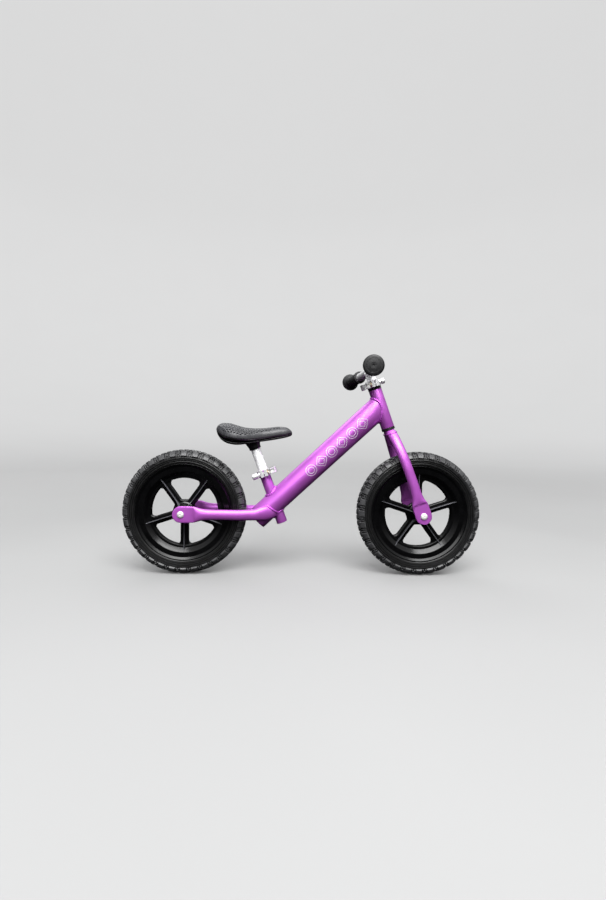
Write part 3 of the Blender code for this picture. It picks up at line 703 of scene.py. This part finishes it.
DROPOUT_END = [
    # along from the axle, half thickness, half height, squareness: the flat, round-ended plate
    (-DROPOUT_RADIUS * cos(radians(turn)), DROPOUT_FLAT, DROPOUT_RADIUS * sin(radians(turn)), 7)
    for turn in (5, 12, 20, 28, 37, 47, 58, 72, 90)
]
DROPOUT_NECK = [
    (0.012, DROPOUT_FLAT, 0.0188, 8), (0.02, DROPOUT_FLAT, 0.0186, 8), (0.028, DROPOUT_FLAT, 0.0183, 8),
]
STAY_SECTIONS = [
    # forward of the axle, from the mid-plane, height, half width, half height, squareness
    (0.028, DROPOUT_OFFSET, 0.148, DROPOUT_FLAT, 0.0183, 8),
    (0.031, 0.0514, 0.148, 0.0046, 0.0181, 3.4),
    (0.0355, 0.0511, 0.1479, 0.006, 0.017, 2.6),
    (0.0455, 0.05, 0.1478, 0.0074, 0.0142, 2.1),
    (0.057, 0.0487, 0.1476, 0.0079, 0.0126, 2),
    (0.09, 0.0454, 0.147, 0.008, 0.012, 2),
    (0.148, 0.0372, 0.1454, 0.008, 0.0125, 2),
    (0.168, 0.033, 0.1455, 0.0082, 0.0132, 2),
    (0.182, 0.0292, 0.1475, 0.0086, 0.0155, 2),
    (0.195, 0.0248, 0.1485, 0.0088, 0.0168, 2),
    (0.206, 0.0202, 0.1488, 0.0086, 0.015, 2),
    (0.215, 0.0158, 0.1496, 0.0074, 0.0112, 2),
    (0.222, 0.0112, 0.1512, 0.005, 0.007, 2),
]
LEG_SECTIONS = [
    # up from the axle, from the mid-plane, forward, half width, half depth, squareness
    (0.028, DROPOUT_OFFSET, 0.0016, DROPOUT_FLAT, 0.0183, 8),
    (0.0302, 0.0515, 0.0016, 0.0056, 0.0177, 3.4),
    (0.035, 0.0514, 0.0016, 0.0067, 0.016, 2.6),
    (0.0425, 0.0512, 0.0018, 0.0074, 0.0139, 2.1),
    (0.0535, 0.051, 0.0023, 0.0078, 0.0122, 2),
    (0.075, 0.0506, 0.0032, 0.0078, 0.0114, 2),
    (0.11, 0.0495, 0.0032, 0.0078, 0.0112, 2),
    (0.14, 0.0462, 0.003, 0.008, 0.0112, 2),
    (0.16, 0.0408, 0.0026, 0.0084, 0.0112, 2),
    (0.176, 0.0335, 0.0022, 0.009, 0.0114, 2),
    (0.192, 0.0245, 0.0015, 0.0098, 0.0118, 2),
    (0.203, 0.017, 0.0008, 0.0098, 0.0118, 2),
    (0.209, 0.013, 0.0004, 0.009, 0.0106, 2),
    (0.2117, 0.0117, 0.0002, 0.0066, 0.0078, 2),
]
TUBE_SIDES = 48


def tube_rows(side, sections, middle, place):
    """Sections of a stay or leg from its round end on. place makes (along, aside, across) a world point."""
    dropout = [(along, DROPOUT_OFFSET, middle, *rest) for along, *rest in DROPOUT_END + DROPOUT_NECK]
    rows = []
    for along, aside, across, half_width, half_depth, squareness in dropout + eased(sections, 90)[1:]:
        section = oval(half_width, half_depth, squareness, TUBE_SIDES)
        rows.append([place(along, side * aside + u, across + v) for u, v in section])
    return rows


def stay_rows(side):
    def place(along, aside, across):
        return Vector((REAR_AXLE.x + along, aside, across))

    return tube_rows(side, STAY_SECTIONS, REAR_AXLE.z, place)


def leg_rows(side):
    axle = STEERING.inverted() @ FRONT_AXLE

    def place(along, aside, across):
        return STEERING @ Vector((across, aside, axle.z + along))

    return tube_rows(side, LEG_SECTIONS, axle.x, place)


def stay_crossings(side):
    """Where the lines along a chainstay, beyond its flat end, enter the main tube."""
    found = [first_crossing(line) for line in zip(*stay_rows(side)[30:])]
    return [point for point in found if point]


def make_stays_and_legs():
    crown = Shape()
    for side, hand in SIDES:
        stay = Shape().rows(stay_rows(side))
        piece("chainstay_skin_" + hand, stay, paint, "frame", "chainstay_" + hand, sharp=42)
        rows = leg_rows(side)
        leg = Shape().rows(rows)
        piece("fork_leg_skin_" + hand, leg, paint, "fork", "fork_leg_" + hand, sharp=42)
        weld(crown, rows[-5], 0.0019)
    piece("fork_welds", crown, welds, "fork", sharp=60)


make_main_tube()
make_upright_tubes()
make_stays_and_legs()
make_frame_welds()

# ---- tyres ----


def carcass():
    """The tyre's ringed side from the bead to where the lugs begin, as (radius, half width)."""
    rows = [(0.1083, 0.0136), (0.1147, 0.0156), (0.1149, 0.0194), (0.1156, 0.0206), (0.1164, 0.021)]
    for k, half in enumerate((0.0214, 0.0221, 0.0223)):
        radius = 0.1172 + 0.0043 * k
        rows += [(radius, half - 0.0015), (radius + 0.0011, half + 0.0003), (radius + 0.0027, half + 0.0005)]
    rows += [(0.1302, 0.0214), (0.1308, 0.0216)]
    return rows


SIDE_ROWS = carcass()
# the tread, from where the lugs begin to its middle
TREAD = SIDE_ROWS[-1:] + [
    (0.1335, 0.0207), (0.137, 0.019), (0.1405, 0.0161), (0.143, 0.0118), (0.1442, 0.0062),
    (0.1446, 0.0),
]
LUG_PAIRS = 32
TREAD_LENGTHS = [0.0]             # the distance over the tread to each of its rows
for a, b in zip(TREAD, TREAD[1:]):
    TREAD_LENGTHS.append(TREAD_LENGTHS[-1] + dist(a, b))
TREAD_WIDTH = TREAD_LENGTHS[-1]


def tread_point(over, angle, height, side):
    """A point above the tread, at a distance from where the lugs begin, which may be past the middle."""
    if over > TREAD_WIDTH:
        return tread_point(2 * TREAD_WIDTH - over, angle, height, -side)
    i = max(n for n in range(len(TREAD) - 1) if TREAD_LENGTHS[n] <= over + 1e-9 or n == 0)
    share = (over - TREAD_LENGTHS[i]) / (TREAD_LENGTHS[i + 1] - TREAD_LENGTHS[i])
    radius, half = (low + (high - low) * share for low, high in zip(TREAD[i], TREAD[i + 1]))
    lean = 0.5 * pi * smooth_step(over / TREAD_WIDTH) * 0.9 + 0.14 * pi * (1 - over / TREAD_WIDTH)
    radius += height * sin(lean)
    half += height * cos(lean)
    return (radius * cos(angle), radius * sin(angle), side * half)


def add_lug(shape, side, angle, over, half_length, half_width, height, skew=0.0, edge=0.0007):
    """A block of tread: half_length goes round the tyre, and half_width across it."""
    def steps(half):
        inner = [(-half + edge) + 2 * (half - edge) * k / 3 for k in range(4)]
        return [-half - 0.0004, -half] + inner + [half, half + 0.0004]

    lengths, widths = steps(half_length), steps(half_width)
    paths = []
    for inset in range(4):
        xs, ys = lengths[inset:len(lengths) - inset], widths[inset:len(widths) - inset]
        path = [(x, ys[0]) for x in xs[:-1]] + [(xs[-1], y) for y in ys[:-1]]
        paths.append(path + [(x, ys[-1]) for x in xs[:0:-1]] + [(xs[0], y) for y in ys[:0:-1]])
    size = len(paths[0])
    rows = []
    for path, rise in zip(paths, (-0.0008, height - edge * 0.9, height, height)):
        row = []
        for i in range(size):
            x, y = path[round(i * len(path) / size) % len(path)]
            turn = angle + (x + skew * y) / TYRE_RADIUS
            row.append(tread_point(over + y, turn, rise, side))
        rows.append(row)
    shape.rows(rows)


def make_tyre(name, axle, body, node):
    half = SIDE_ROWS + TREAD[1:]
    shape = Shape().turned(half + [(r, -z) for r, z in reversed(half[:-1])], 160)
    piece(name, shape, foam, body, node, crosswise(axle), sharp=40)
    lugs = Shape()
    pitch = 2 * pi / LUG_PAIRS
    inner = TREAD_WIDTH - 0.0078
    for k in range(LUG_PAIRS):
        for side in (-1, 1):
            # a big block, two bars with a link between them, and two slanting blocks near the middle
            angle = k * pitch + (pitch / 4 if side > 0 else 0)
            between = angle + pitch / 2
            add_lug(lugs, side, angle, 0.008, 0.008, 0.0074, 0.0034, edge=0.0016)
            for step in (-0.0029, 0.0029):
                add_lug(lugs, side, between + step / TYRE_RADIUS, 0.0076, 0.0011, 0.006, 0.0028)
            add_lug(lugs, side, between, 0.008, 0.0022, 0.0012, 0.0022, edge=0.0004)
            for turn, skew in ((0.25, 0.35), (0.75, -0.35)):
                add_lug(lugs, side, angle + pitch * turn, inner, 0.0044, 0.003, 0.0032, skew)
        for turn in (0.125, 0.625):
            add_lug(lugs, 1, k * pitch + pitch * turn, TREAD_WIDTH, 0.0045, 0.0036, 0.0034)
    # the lugs take the lighter foam, a painted highlight on the tread
    piece(name + "_lugs", lugs, lug_highlight_foam, body, None, crosswise(axle), sharp=40)


make_tyre("rear_tread", REAR_AXLE, "rear_wheel_set", "rear_tyre")
make_tyre("front_tread", FRONT_AXLE, "front_wheel_set", "front_tyre")

# ---- wheels ----

SPOKE_HALF = 0.0095
WINDOW_INNER, WINDOW_OUTER = 0.029, 0.0815
WINDOW_INNER_CORNER, WINDOW_OUTER_CORNER = 0.0042, 0.01
WEB_HALF = 0.0066                 # half of the thickness of the spokes


def spun(x, y, angle):
    return (x * cos(angle) - y * sin(angle), x * sin(angle) + y * cos(angle))


def window_outline(angle):
    """The opening between two spokes, wide at the rim and narrow at the hub."""
    inner_angle = pi / 5 - asin(SPOKE_HALF / WINDOW_INNER)
    outer_angle = pi / 5 - asin(SPOKE_HALF / WINDOW_OUTER)
    x, y = WINDOW_INNER * cos(inner_angle), WINDOW_INNER * sin(inner_angle)
    corners = [(x, -y, WINDOW_INNER_CORNER)]
    steps = 12
    for k in range(steps + 1):
        turn = outer_angle * (2 * k / steps - 1)
        if k in (0, steps) or abs(turn) <= outer_angle * 0.72:
            radius = WINDOW_OUTER_CORNER if k in (0, steps) else 0
            corners.append((WINDOW_OUTER * cos(turn), WINDOW_OUTER * sin(turn), radius))
    corners.append((x, y, WINDOW_INNER_CORNER))
    return [spun(x, y, angle) for x, y in rounded(corners, 8)]


def web_shape(first_spoke):
    """The flat web of five spokes, with its five openings and rounded edges."""
    curve = bpy.data.curves.new("web", "CURVE")
    curve.dimensions = "2D"
    curve.fill_mode = "BOTH"
    edge = 0.0022
    curve.extrude = WEB_HALF - edge
    curve.bevel_depth = edge
    curve.bevel_resolution = 4
    curve.offset = -edge
    outlines = [circle(0.0925, 120)]
    outlines += [window_outline(first_spoke + pi / 5 + i * 2 * pi / 5) for i in range(5)]
    for outline in outlines:
        spline = curve.splines.new("POLY")
        spline.points.add(len(outline) - 1)
        for point, (x, y) in zip(spline.points, outline):
            point.co = (x, y, 0, 1)
        spline.use_cyclic_u = True
    made = add_object("web", curve)
    mesh = final_mesh(made)
    shape = Shape()
    shape.points = [tuple(v.co) for v in mesh.vertices]
    shape.faces = [tuple(f.vertices) for f in mesh.polygons]
    bpy.data.objects.remove(made)
    bpy.data.curves.remove(curve)
    bpy.data.meshes.remove(mesh)
    return shape


def add_rib(shape, angle, side):
    """A thin rib along the middle of a spoke, from the hub to the dished band, high at the hub."""
    half = 0.0009
    stations = [
        # from the axle, height above the mid-plane
        (0.015, 0.029), (0.0205, 0.0228), (0.027, 0.0154), (0.034, 0.0132), (0.05, 0.0126),
        (0.08, 0.0126), (0.089, 0.0134), (0.094, 0.0158),
    ]
    rows = []
    for reach, height in eased(stations, 40):
        section = [(-half, 0.004), (half, 0.004)]
        section += [(half * cos(pi * k / 8), height + half * (sin(pi * k / 8) - 1)) for k in range(9)]
        rows.append([(*spun(reach, aside, angle), side * z) for aside, z in section])
    shape.rows(rows)


def make_wheel(name, axle, body, node, first_spoke):
    shape = web_shape(first_spoke)
    half = [
        # the rim from its inner edge under the spokes, over its dished side and lip, to the tyre's channel
        (0.08, 0.005, 0), (0.08, 0.0085, 0.0012), (0.0868, 0.0088, 0.002), (0.0958, 0.0164, 0.0016),
        (0.1075, 0.0168, 0.0012), (0.1126, 0.0196, 0.001), (0.1146, 0.0197, 0.0006),
        (0.1145, 0.016, 0.0006), (0.108, 0.014, 0.001),
    ]
    one_side = rounded(half, 5, closed=False)
    shape.turned(one_side + [(r, -z) for r, z in reversed(one_side)], 160)
    # the hub, from its bore over its end to a small fillet on the web
    hub = [(0.0095, 0), (0.0095, 0.0276), (0.0133, 0.0276), (0.0133, 0.036), (0.0172, 0.036)]
    hub += [(0.0178, 0.0352), (0.018, 0.03), (0.0184, 0.012), (0.019, 0.0094)]
    hub += [(0.0204, 0.0078), (0.0225, 0.0071), (0.025, 0.005)]
    shape.turned(hub + [(r, -z) for r, z in reversed(hub[1:])], 96)
    piece(name, shape, nylon, body, node, crosswise(axle), sharp=32)
    ribs = Shape()
    for i in range(5):
        for side in (-1, 1):
            add_rib(ribs, first_spoke + i * 2 * pi / 5, side)
    # the ribs take the lighter nylon, a painted highlight along their crests
    piece(name + "_ribs", ribs, rib_highlight_nylon, body, None, crosswise(axle), sharp=32)


make_wheel("rear_wheel_moulding", REAR_AXLE, "rear_wheel_set", "rear_wheel", radians(90))
make_wheel("front_wheel_moulding", FRONT_AXLE, "front_wheel_set", "front_wheel", radians(-90))


def make_bolt(name, axle, body, node, side):
    """A domed bolt head with a six-sided socket."""
    under = DROPOUT_OFFSET + DROPOUT_FLAT + GAP
    angles = turns(48)
    profile = [(0.003, 0.03 - under), (0.003, 0), (0.0078, 0), (0.008, 0.0003), (0.008, 0.0009)]
    profile += [(0.0076, 0.0017), (0.0068, 0.0026), (0.0056, 0.0034), (0.004, 0.004)]
    rows = [[(r * cos(a), r * sin(a), side * (under + z)) for a in angles] for r, z in profile]
    for height in (0.0041, 0.0028):
        radii = [0.0017 / cos((a % (pi / 3)) - pi / 6) for a in angles]
        rows.append([(r * cos(a), r * sin(a), side * (under + height)) for r, a in zip(radii, angles)])
    piece(name, Shape().rows(rows), steel, body, node, crosswise(axle), sharp=40)


for label, axle, body in (("rear", REAR_AXLE, "frame"), ("front", FRONT_AXLE, "fork")):
    for side, hand in SIDES:
        make_bolt(f"{label}_bolt_head_{hand}", axle, body, f"{label}_axle_bolt_{hand}", side)

# ---- quick-release clamps ----


def arc(radius, first, last, count):
    """Points on an arc about the origin, with both its ends."""
    angles = [first + (last - first) * k / count for k in range(count + 1)]
    return [(radius * cos(a), radius * sin(a)) for a in angles]


def collar_outline(bore, outer, ear, aside):
    """A split collar seen from above: a ring with two ears on the right, parted by a slit."""
    slit = 0.0011
    reach = aside - 0.0055
    corners = [(slit, -bore - 0.0002, 0), (slit, reach, 0.0003), (ear, reach, 0.0016)]
    corners.append((ear, -outer * 0.86, 0.001))
    first = -asin(0.8)
    points = rounded(corners, 4, closed=False) + arc(outer, first, pi - first, 60)
    mirrored = [(-x, y, radius) for x, y, radius in reversed(corners[1:])] + [(-slit, -bore, 0)]
    points += rounded([(-outer * 0.7, -outer * 0.8, 0)] + mirrored, 4, closed=False)[1:]
    gap = asin(slit / bore)
    return points + arc(bore, -pi / 2 - gap, -5 * pi / 2 + gap, 60)[1:-1]


def ribbon(stations):
    """A band's outline, from the points of its middle line, each with its half width."""
    left, right = [], []
    ends = zip(stations[:1] + stations[:-1], stations[1:] + stations[-1:])
    for (x, y, half), (before, after) in zip(stations, ends):
        along = (Vector(after[:2]) - Vector(before[:2])).normalized()
        aside = Vector((-along.y, along.x)) * half
        left.append((x + aside.x, y + aside.y))
        right.append((x - aside.x, y - aside.y))
    return left + right[::-1]


def make_clamp(label, place, body, lever_body, low, high, outer, skewer_height, nut_side, nut_length):
    """A split collar with a nut on one end of its skewer and a cam lever on the other."""
    bore = SEAT_TUBE_RADIUS + GAP
    ear = 0.0092
    aside = -(outer + 0.0052)
    collar = Shape().plate(collar_outline(bore, outer, ear, aside), low, high)
    piece(label + "_band", collar, clamp_metal, body, label + "_collar", place, sharp=30, bevel=0.0006)

    base = ear + GAP
    end = base + nut_length
    corners = [
        (0.0029, base, 0), (0.0062, base, 0.0004), (0.0062, base + 0.0024, 0.0004),
        (0.0046, base + 0.003, 0.0003), (0.0046, base + 0.0052, 0.0003), (0.007, base + 0.006, 0.0006),
        (0.007, end - 0.0008, 0.0022), (0.003, end, 0.0004), (0.0026, end - 0.0018, 0),
    ]
    across = place @ Matrix.Translation((0, aside, skewer_height)) @ Matrix.Rotation(pi / 2, 4, "Y")
    profile = [(r, nut_side * z) for r, z in rounded(corners, 4, closed=False)]
    nut = Shape().turned(profile, 48, wrap=False)
    piece(label + "_barrel_nut", nut, clamp_metal, body, label + "_nut", across)

    def outwards(outline):
        return [(-nut_side * x, y) for x, y in outline]

    cam_radius, washer = 0.0068, 0.0009
    pin_place = -nut_side * (ear + 3 * GAP + washer + cam_radius)
    pin = place @ Matrix.Translation((pin_place, aside, skewer_height))
    half_height, eye = 0.0066, 0.0036
    root = [(0.0, -0.0046), (0.0085, -0.0022), (0.01, 0.004), (0.0, 0.006)]
    lever = Shape()
    for bottom, top in ((-half_height, -eye), (eye, half_height)):
        lever.plate(outwards(circle(cam_radius, 40)), bottom, top)
        lever.plate(outwards(root), bottom + 0.0002, top - 0.0002)
    arm = [(0.0068, 0.0002, 0.0022), (0.0088, 0.0026, 0.0028), (0.0104, 0.007, 0.0028)]
    arm += [(0.0114, 0.016, 0.0026), (0.0109, 0.022, 0.0025), (0.0098, 0.0275, 0.0024)]
    arm += [(0.0064, 0.036, 0.0021), (0.0014, 0.0425, 0.0016)]
    lever.plate(outwards(ribbon(arm)), -half_height, half_height)
    piece(label + "_lever_arm", lever, clamp_metal, lever_body, label + "_lever", pin, sharp=35, bevel=0.0005)


make_clamp("seat_clamp", SEAT, "frame", "seat_lever", 0.0004, 0.0165, 0.0158, 0.0085, -1, 0.0195)
make_clamp("bar_clamp", STEERING, "fork", "bar_lever", RING_HEIGHT + GAP, 0.0235, 0.017, 0.014, 1, 0.014)

# ---- saddle ----

SADDLE_SECTIONS = [
    # forward place, half width, top, where the pad meets the base, underside
    (-0.2062, 0.003, 0.3465, 0.345, 0.344),
    (-0.2052, 0.011, 0.349, 0.342, 0.34),
    (-0.2, 0.03, 0.3555, 0.334, 0.329),
    (-0.189, 0.046, 0.36, 0.325, 0.317),
    (-0.175, 0.056, 0.3595, 0.3185, 0.3105),
    (-0.156, 0.059, 0.3545, 0.315, 0.308),
    (-0.136, 0.054, 0.3495, 0.3145, 0.31),
    (-0.115, 0.043, 0.348, 0.3165, 0.3135),
    (-0.095, 0.033, 0.3485, 0.3196, 0.3165),
    (-0.075, 0.027, 0.3508, 0.3232, 0.3195),
    (-0.056, 0.0235, 0.3525, 0.3272, 0.323),
    (-0.041, 0.02, 0.3515, 0.33, 0.3262),
    (-0.031, 0.0148, 0.3462, 0.335, 0.3292),
    (-0.0268, 0.009, 0.3418, 0.3358, 0.3316),
    (-0.0252, 0.003, 0.339, 0.3366, 0.334),
]
DIMPLE_PITCH = 0.0072
DIMPLE_ROW_PITCH = DIMPLE_PITCH * 0.866
DIMPLE_RADIUS = 0.0023
DIMPLE_DEPTH = 0.003
PAD_BELLY = 0.3                  # how high up the pad's side it is widest, as a share of its height


def dimple(x, over, share):
    """How deep the skin is pressed in. over is the distance round from the middle, share is 1 on top."""
    limit = 0.22 + 0.5 * smooth_step((x + 0.165) / 0.11)
    fade = smooth_step((-0.052 - x) / 0.006) * smooth_step((share - limit) / 0.06 + 0.5)
    if fade <= 0:
        return 0.0
    row = round(over / DIMPLE_ROW_PITCH)
    shift = DIMPLE_PITCH / 2 if row % 2 else 0
    column = round((x - shift) / DIMPLE_PITCH)
    reach = hypot(x - shift - column * DIMPLE_PITCH, over - row * DIMPLE_ROW_PITCH)
    return DIMPLE_DEPTH * fade * smooth_step((1.3 - reach / DIMPLE_RADIUS) / 0.6)


def pad_rows(sides, count):
    """Sections of the pad: widest low down and domed over the top, with rows of dimples pressed in."""
    rows = []
    quarter = sides // 4
    for x, half, high, low, _ in eased(SADDLE_SECTIONS, count):
        tall = high - low
        middle = low + tall * PAD_BELLY
        reach_up = tall * (1 - PAD_BELLY)
        section = oval(half, 1.0, 2.35, sides)
        section = [(u, v * tall * (1 - PAD_BELLY if v > 0 else PAD_BELLY)) for u, v in section]
        over = {}                 # the distance over the skin from its top to each upper point
        for direction in (-1, 1):
            total = 0.0
            before = section[quarter]
            for k in range(quarter + 1):
                i = (quarter + direction * k) % sides
                total += dist(section[i], before)
                before = section[i]
                over[i] = direction * total
        points = []
        for i, (u, v) in enumerate(section):
            depth = dimple(x, over[i], v / reach_up) if i in over else 0.0
            lean = hypot(u / half**2, v / reach_up**2)
            u -= depth * u / half**2 / lean
            v -= depth * v / reach_up**2 / lean
            points.append((x, u, middle + v))
        rows.append(points)
    return rows


def base_rows(sides, count):
    """Sections of the shell under the pad."""
    rows = []
    for x, half, _, meeting, low in eased(SADDLE_SECTIONS, count):
        high = meeting + 0.003
        section = oval(half * 0.82, (high - low) / 2, 2.2, sides)
        rows.append([(x, u, (high + low) / 2 + v) for u, v in section])
    return rows


def make_saddle():
    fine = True
    sides, count = (320, 420) if fine else (128, 160)
    shape = Shape().rows(pad_rows(sides, count))
    pad = piece("saddle_cushion", shape, skin, "seat", "saddle_pad", sharp=60)
    base = Shape().rows(base_rows(96, 140))
    # the post's socket, with eight small webs round it
    bore, low, high = POST_RADIUS + GAP, 0.069, 0.0915
    socket = [(0.0185, high), (0.016, 0.084), (0.0146, 0.079), (0.0142, 0.075), (0.0142, 0.0696)]
    base.turned(socket + [(0.0138, low), (bore, low), (bore, high)], 64, place=SEAT)
    gusset = [(0.0125, 0.0775), (0.015, 0.0765), (0.0192, 0.088), (0.0125, 0.09)]
    for k in range(8):
        turn = Matrix.Rotation(radians(22.5 + 45 * k), 4, "Z") @ Matrix.Rotation(pi / 2, 4, "X")
        base.plate(gusset, -0.001, 0.001, SEAT @ turn)
    piece("saddle_shell", base, plastic, "seat", "saddle_base", sharp=40)
    inner = POST_RADIUS - POST_WALL
    make_sleeve("seat_pillar", inner, POST_RADIUS, -0.085, 0.083, silver, "seat", "seat_post", SEAT)


make_saddle()

# ---- handlebar ----


def bar_point(reach):
    """A point on the bar's centre line at a distance from the mid-plane: straight first, then swept back."""
    blend = 0.012
    beyond = abs(reach) - BAR_STRAIGHT
    if beyond <= -blend:
        back = 0.0
    elif beyond < blend:
        back = tan(BAR_SWEEP) * (beyond + blend) ** 2 / (4 * blend)
    else:
        back = tan(BAR_SWEEP) * beyond
    return Vector((-back, reach, BAR_RISE))


def bar_underside(x):
    """The height of the bar's underside over the post, where the post meets it."""
    return BAR_RISE - sqrt(max(0, BAR_RADIUS**2 - x**2))


def make_bar():
    end = GRIP_END - 0.008
    bar = Shape()
    swept(bar, [bar_point(-end + end * 2 * k / 80) for k in range(81)], BAR_RADIUS)
    piece("handlebar_skin", bar, bar_metal, "handlebar", "handlebar_tube", STEERING)

    low, inner = -0.08, POST_RADIUS - POST_WALL
    # the post's wall, as (radius, share of the height): its top follows the bar's underside
    profile = [(inner, 0), (inner, 1), (POST_RADIUS - 0.0004, 1), (POST_RADIUS, 0.995)]
    profile += [(POST_RADIUS, 0.004), (POST_RADIUS - 0.0004, 0)]
    rows = []
    for radius, share in profile:
        row = []
        for a in turns(72):
            x = radius * cos(a)
            top = bar_underside(x) + 0.0006
            row.append((x, radius * sin(a), low + (top - low) * share))
        rows.append(row)
    piece("handlebar_pillar", Shape().rows(rows, wrap=True), silver, "handlebar", "handlebar_post", STEERING)
    joint = [(x, y, bar_underside(x)) for x, y in circle(POST_RADIUS, 72)]
    bead = Shape()
    weld(bead, [STEERING @ Vector(point) for point in joint], 0.0015)
    piece("handlebar_weld", bead, silver, "handlebar", sharp=60)


def make_grip(side, hand):
    """A rubber grip: a small flange inside, fine rings along it, and a big rounded end with a dimple."""
    start, end = bar_point(side * GRIP_START), bar_point(side * GRIP_END)
    turn = Vector((0, 0, 1)).rotation_difference(end - start).to_matrix().to_4x4()
    place = STEERING @ Matrix.Translation(start) @ turn
    length = (end - start).length
    corners = [(BAR_RADIUS + 0.0001, 0, 0), (0.0146, 0, 0.0012), (0.0158, 0.0018, 0.0012)]
    corners += [(0.0158, 0.0052, 0.0016), (GRIP_RADIUS + 0.0004, 0.0098, 0.0025)]
    ring_start, ring_end, rings = 0.013, length - 0.0165, 17
    pitch = (ring_end - ring_start) / rings
    valley, peak = GRIP_RADIUS - 0.0005, GRIP_RADIUS + 0.0003
    for k in range(rings):
        at = ring_start + k * pitch
        corners += [(valley, at, 0.0004), (valley, at + pitch * 0.35, 0.0004)]
        corners += [(peak, at + pitch * 0.5, 0.0005), (peak, at + pitch * 0.88, 0.0005)]
    corners += [
        (GRIP_RADIUS, length - 0.0135, 0.002), (0.02, length - 0.0082, 0.003),
        (0.0223, length - 0.0062, 0.0018), (0.0223, length - 0.0036, 0.002),
        (0.0196, length - 0.0016, 0.003), (0.015, length - 0.0008, 0.0004),
        (0.0146, length - 0.0012, 0.0003), (0.0142, length - 0.0006, 0.0004), (0.007, length, 0.006),
        (0.0022, length - 0.0001, 0.0006), (0.0014, length - 0.0012, 0.0004),
        (0.0006, length - 0.0014, 0),
    ]
    shape = Shape().turned(rounded(corners, 4, closed=False), 96, wrap=False)
    piece("grip_rubber_" + hand, shape, rubber, "handlebar", "grip_" + hand, place, sharp=45)


make_bar()
for side, hand in SIDES:
    make_grip(side, hand)

# ---- printed outlines on the main tube ----

PRINT_WIDTH = 0.0009


def add_line(shape, path, side):
    """A thin printed line round a path of (place along the tube, distance up from its side)."""
    rows = []
    for k, (s, up) in enumerate(path):
        before, after = Vector(path[k - 1]), Vector(path[(k + 1) % len(path)])
        along = (after - before).normalized()
        aside = Vector((-along.y, along.x)) * PRINT_WIDTH / 2
        row = []
        for offset, height in ((aside, 0.00016), (-aside, 0.00016), (-aside, -0.0001), (aside, -0.0001)):
            place = s + offset.x
            angle = (up + offset.y) / main_radius(place)
            reach = main_radius(place) + height
            row.append(MAIN_TUBE @ Vector((-reach * sin(angle), side * reach * cos(angle), place)))
        rows.append(row)
    shape.rows(rows, wrap=True)


def diamond_path(s, radius):
    corners = [(s + radius, 0), (s, radius), (s - radius, 0), (s, -radius)]
    outline = rounded([(*corner, radius * 0.22) for corner in corners], 6)
    return [(p.x, p.y) for p in resampled([(*point, 0) for point in outline], 0.0012)]


def make_print():
    """A row of outlined rings and diamonds along both sides."""
    shape = Shape()
    for side in (-1, 1):
        for k in range(6):
            s = 0.176 + k * 0.0325
            if k % 2:
                paths = [diamond_path(s, 0.0158), diamond_path(s, 0.0086)]
            else:
                paths = [circle(0.013, 64, s), circle(0.0074, 64, s)]
            for path in paths:
                add_line(shape, path, side)
    piece("tube_print", shape, white_print, "frame", sharp=60)


make_print()

# ---- CAD pieces that stay ----

STEEL_NODES = ["rear_axle", "front_axle", "headset_bearing_upper", "headset_bearing_lower", "saddle_screw"]
for label in ("rear", "front"):
    STEEL_NODES += [f"{label}_{part}_{hand}" for part in ("spacer", "bearing") for hand in ("right", "left")]
    STEEL_NODES.append(label + "_hub_sleeve")
for label in ("seat_clamp", "bar_clamp"):
    STEEL_NODES += [label + "_skewer", label + "_pin"]
BRASS_NODES = ["seat_clamp_washer", "bar_clamp_washer"]

for look, names in ((steel, STEEL_NODES), (brass, BRASS_NODES), (paint, ["main_tube_end_plug"])):
    for name in names:
        mesh = frame["nodes"][name].data
        mesh.materials.clear()
        mesh.materials.append(look["material"])
        mesh.shade_smooth()
        mesh.set_sharp_from_angle(angle=radians(35))
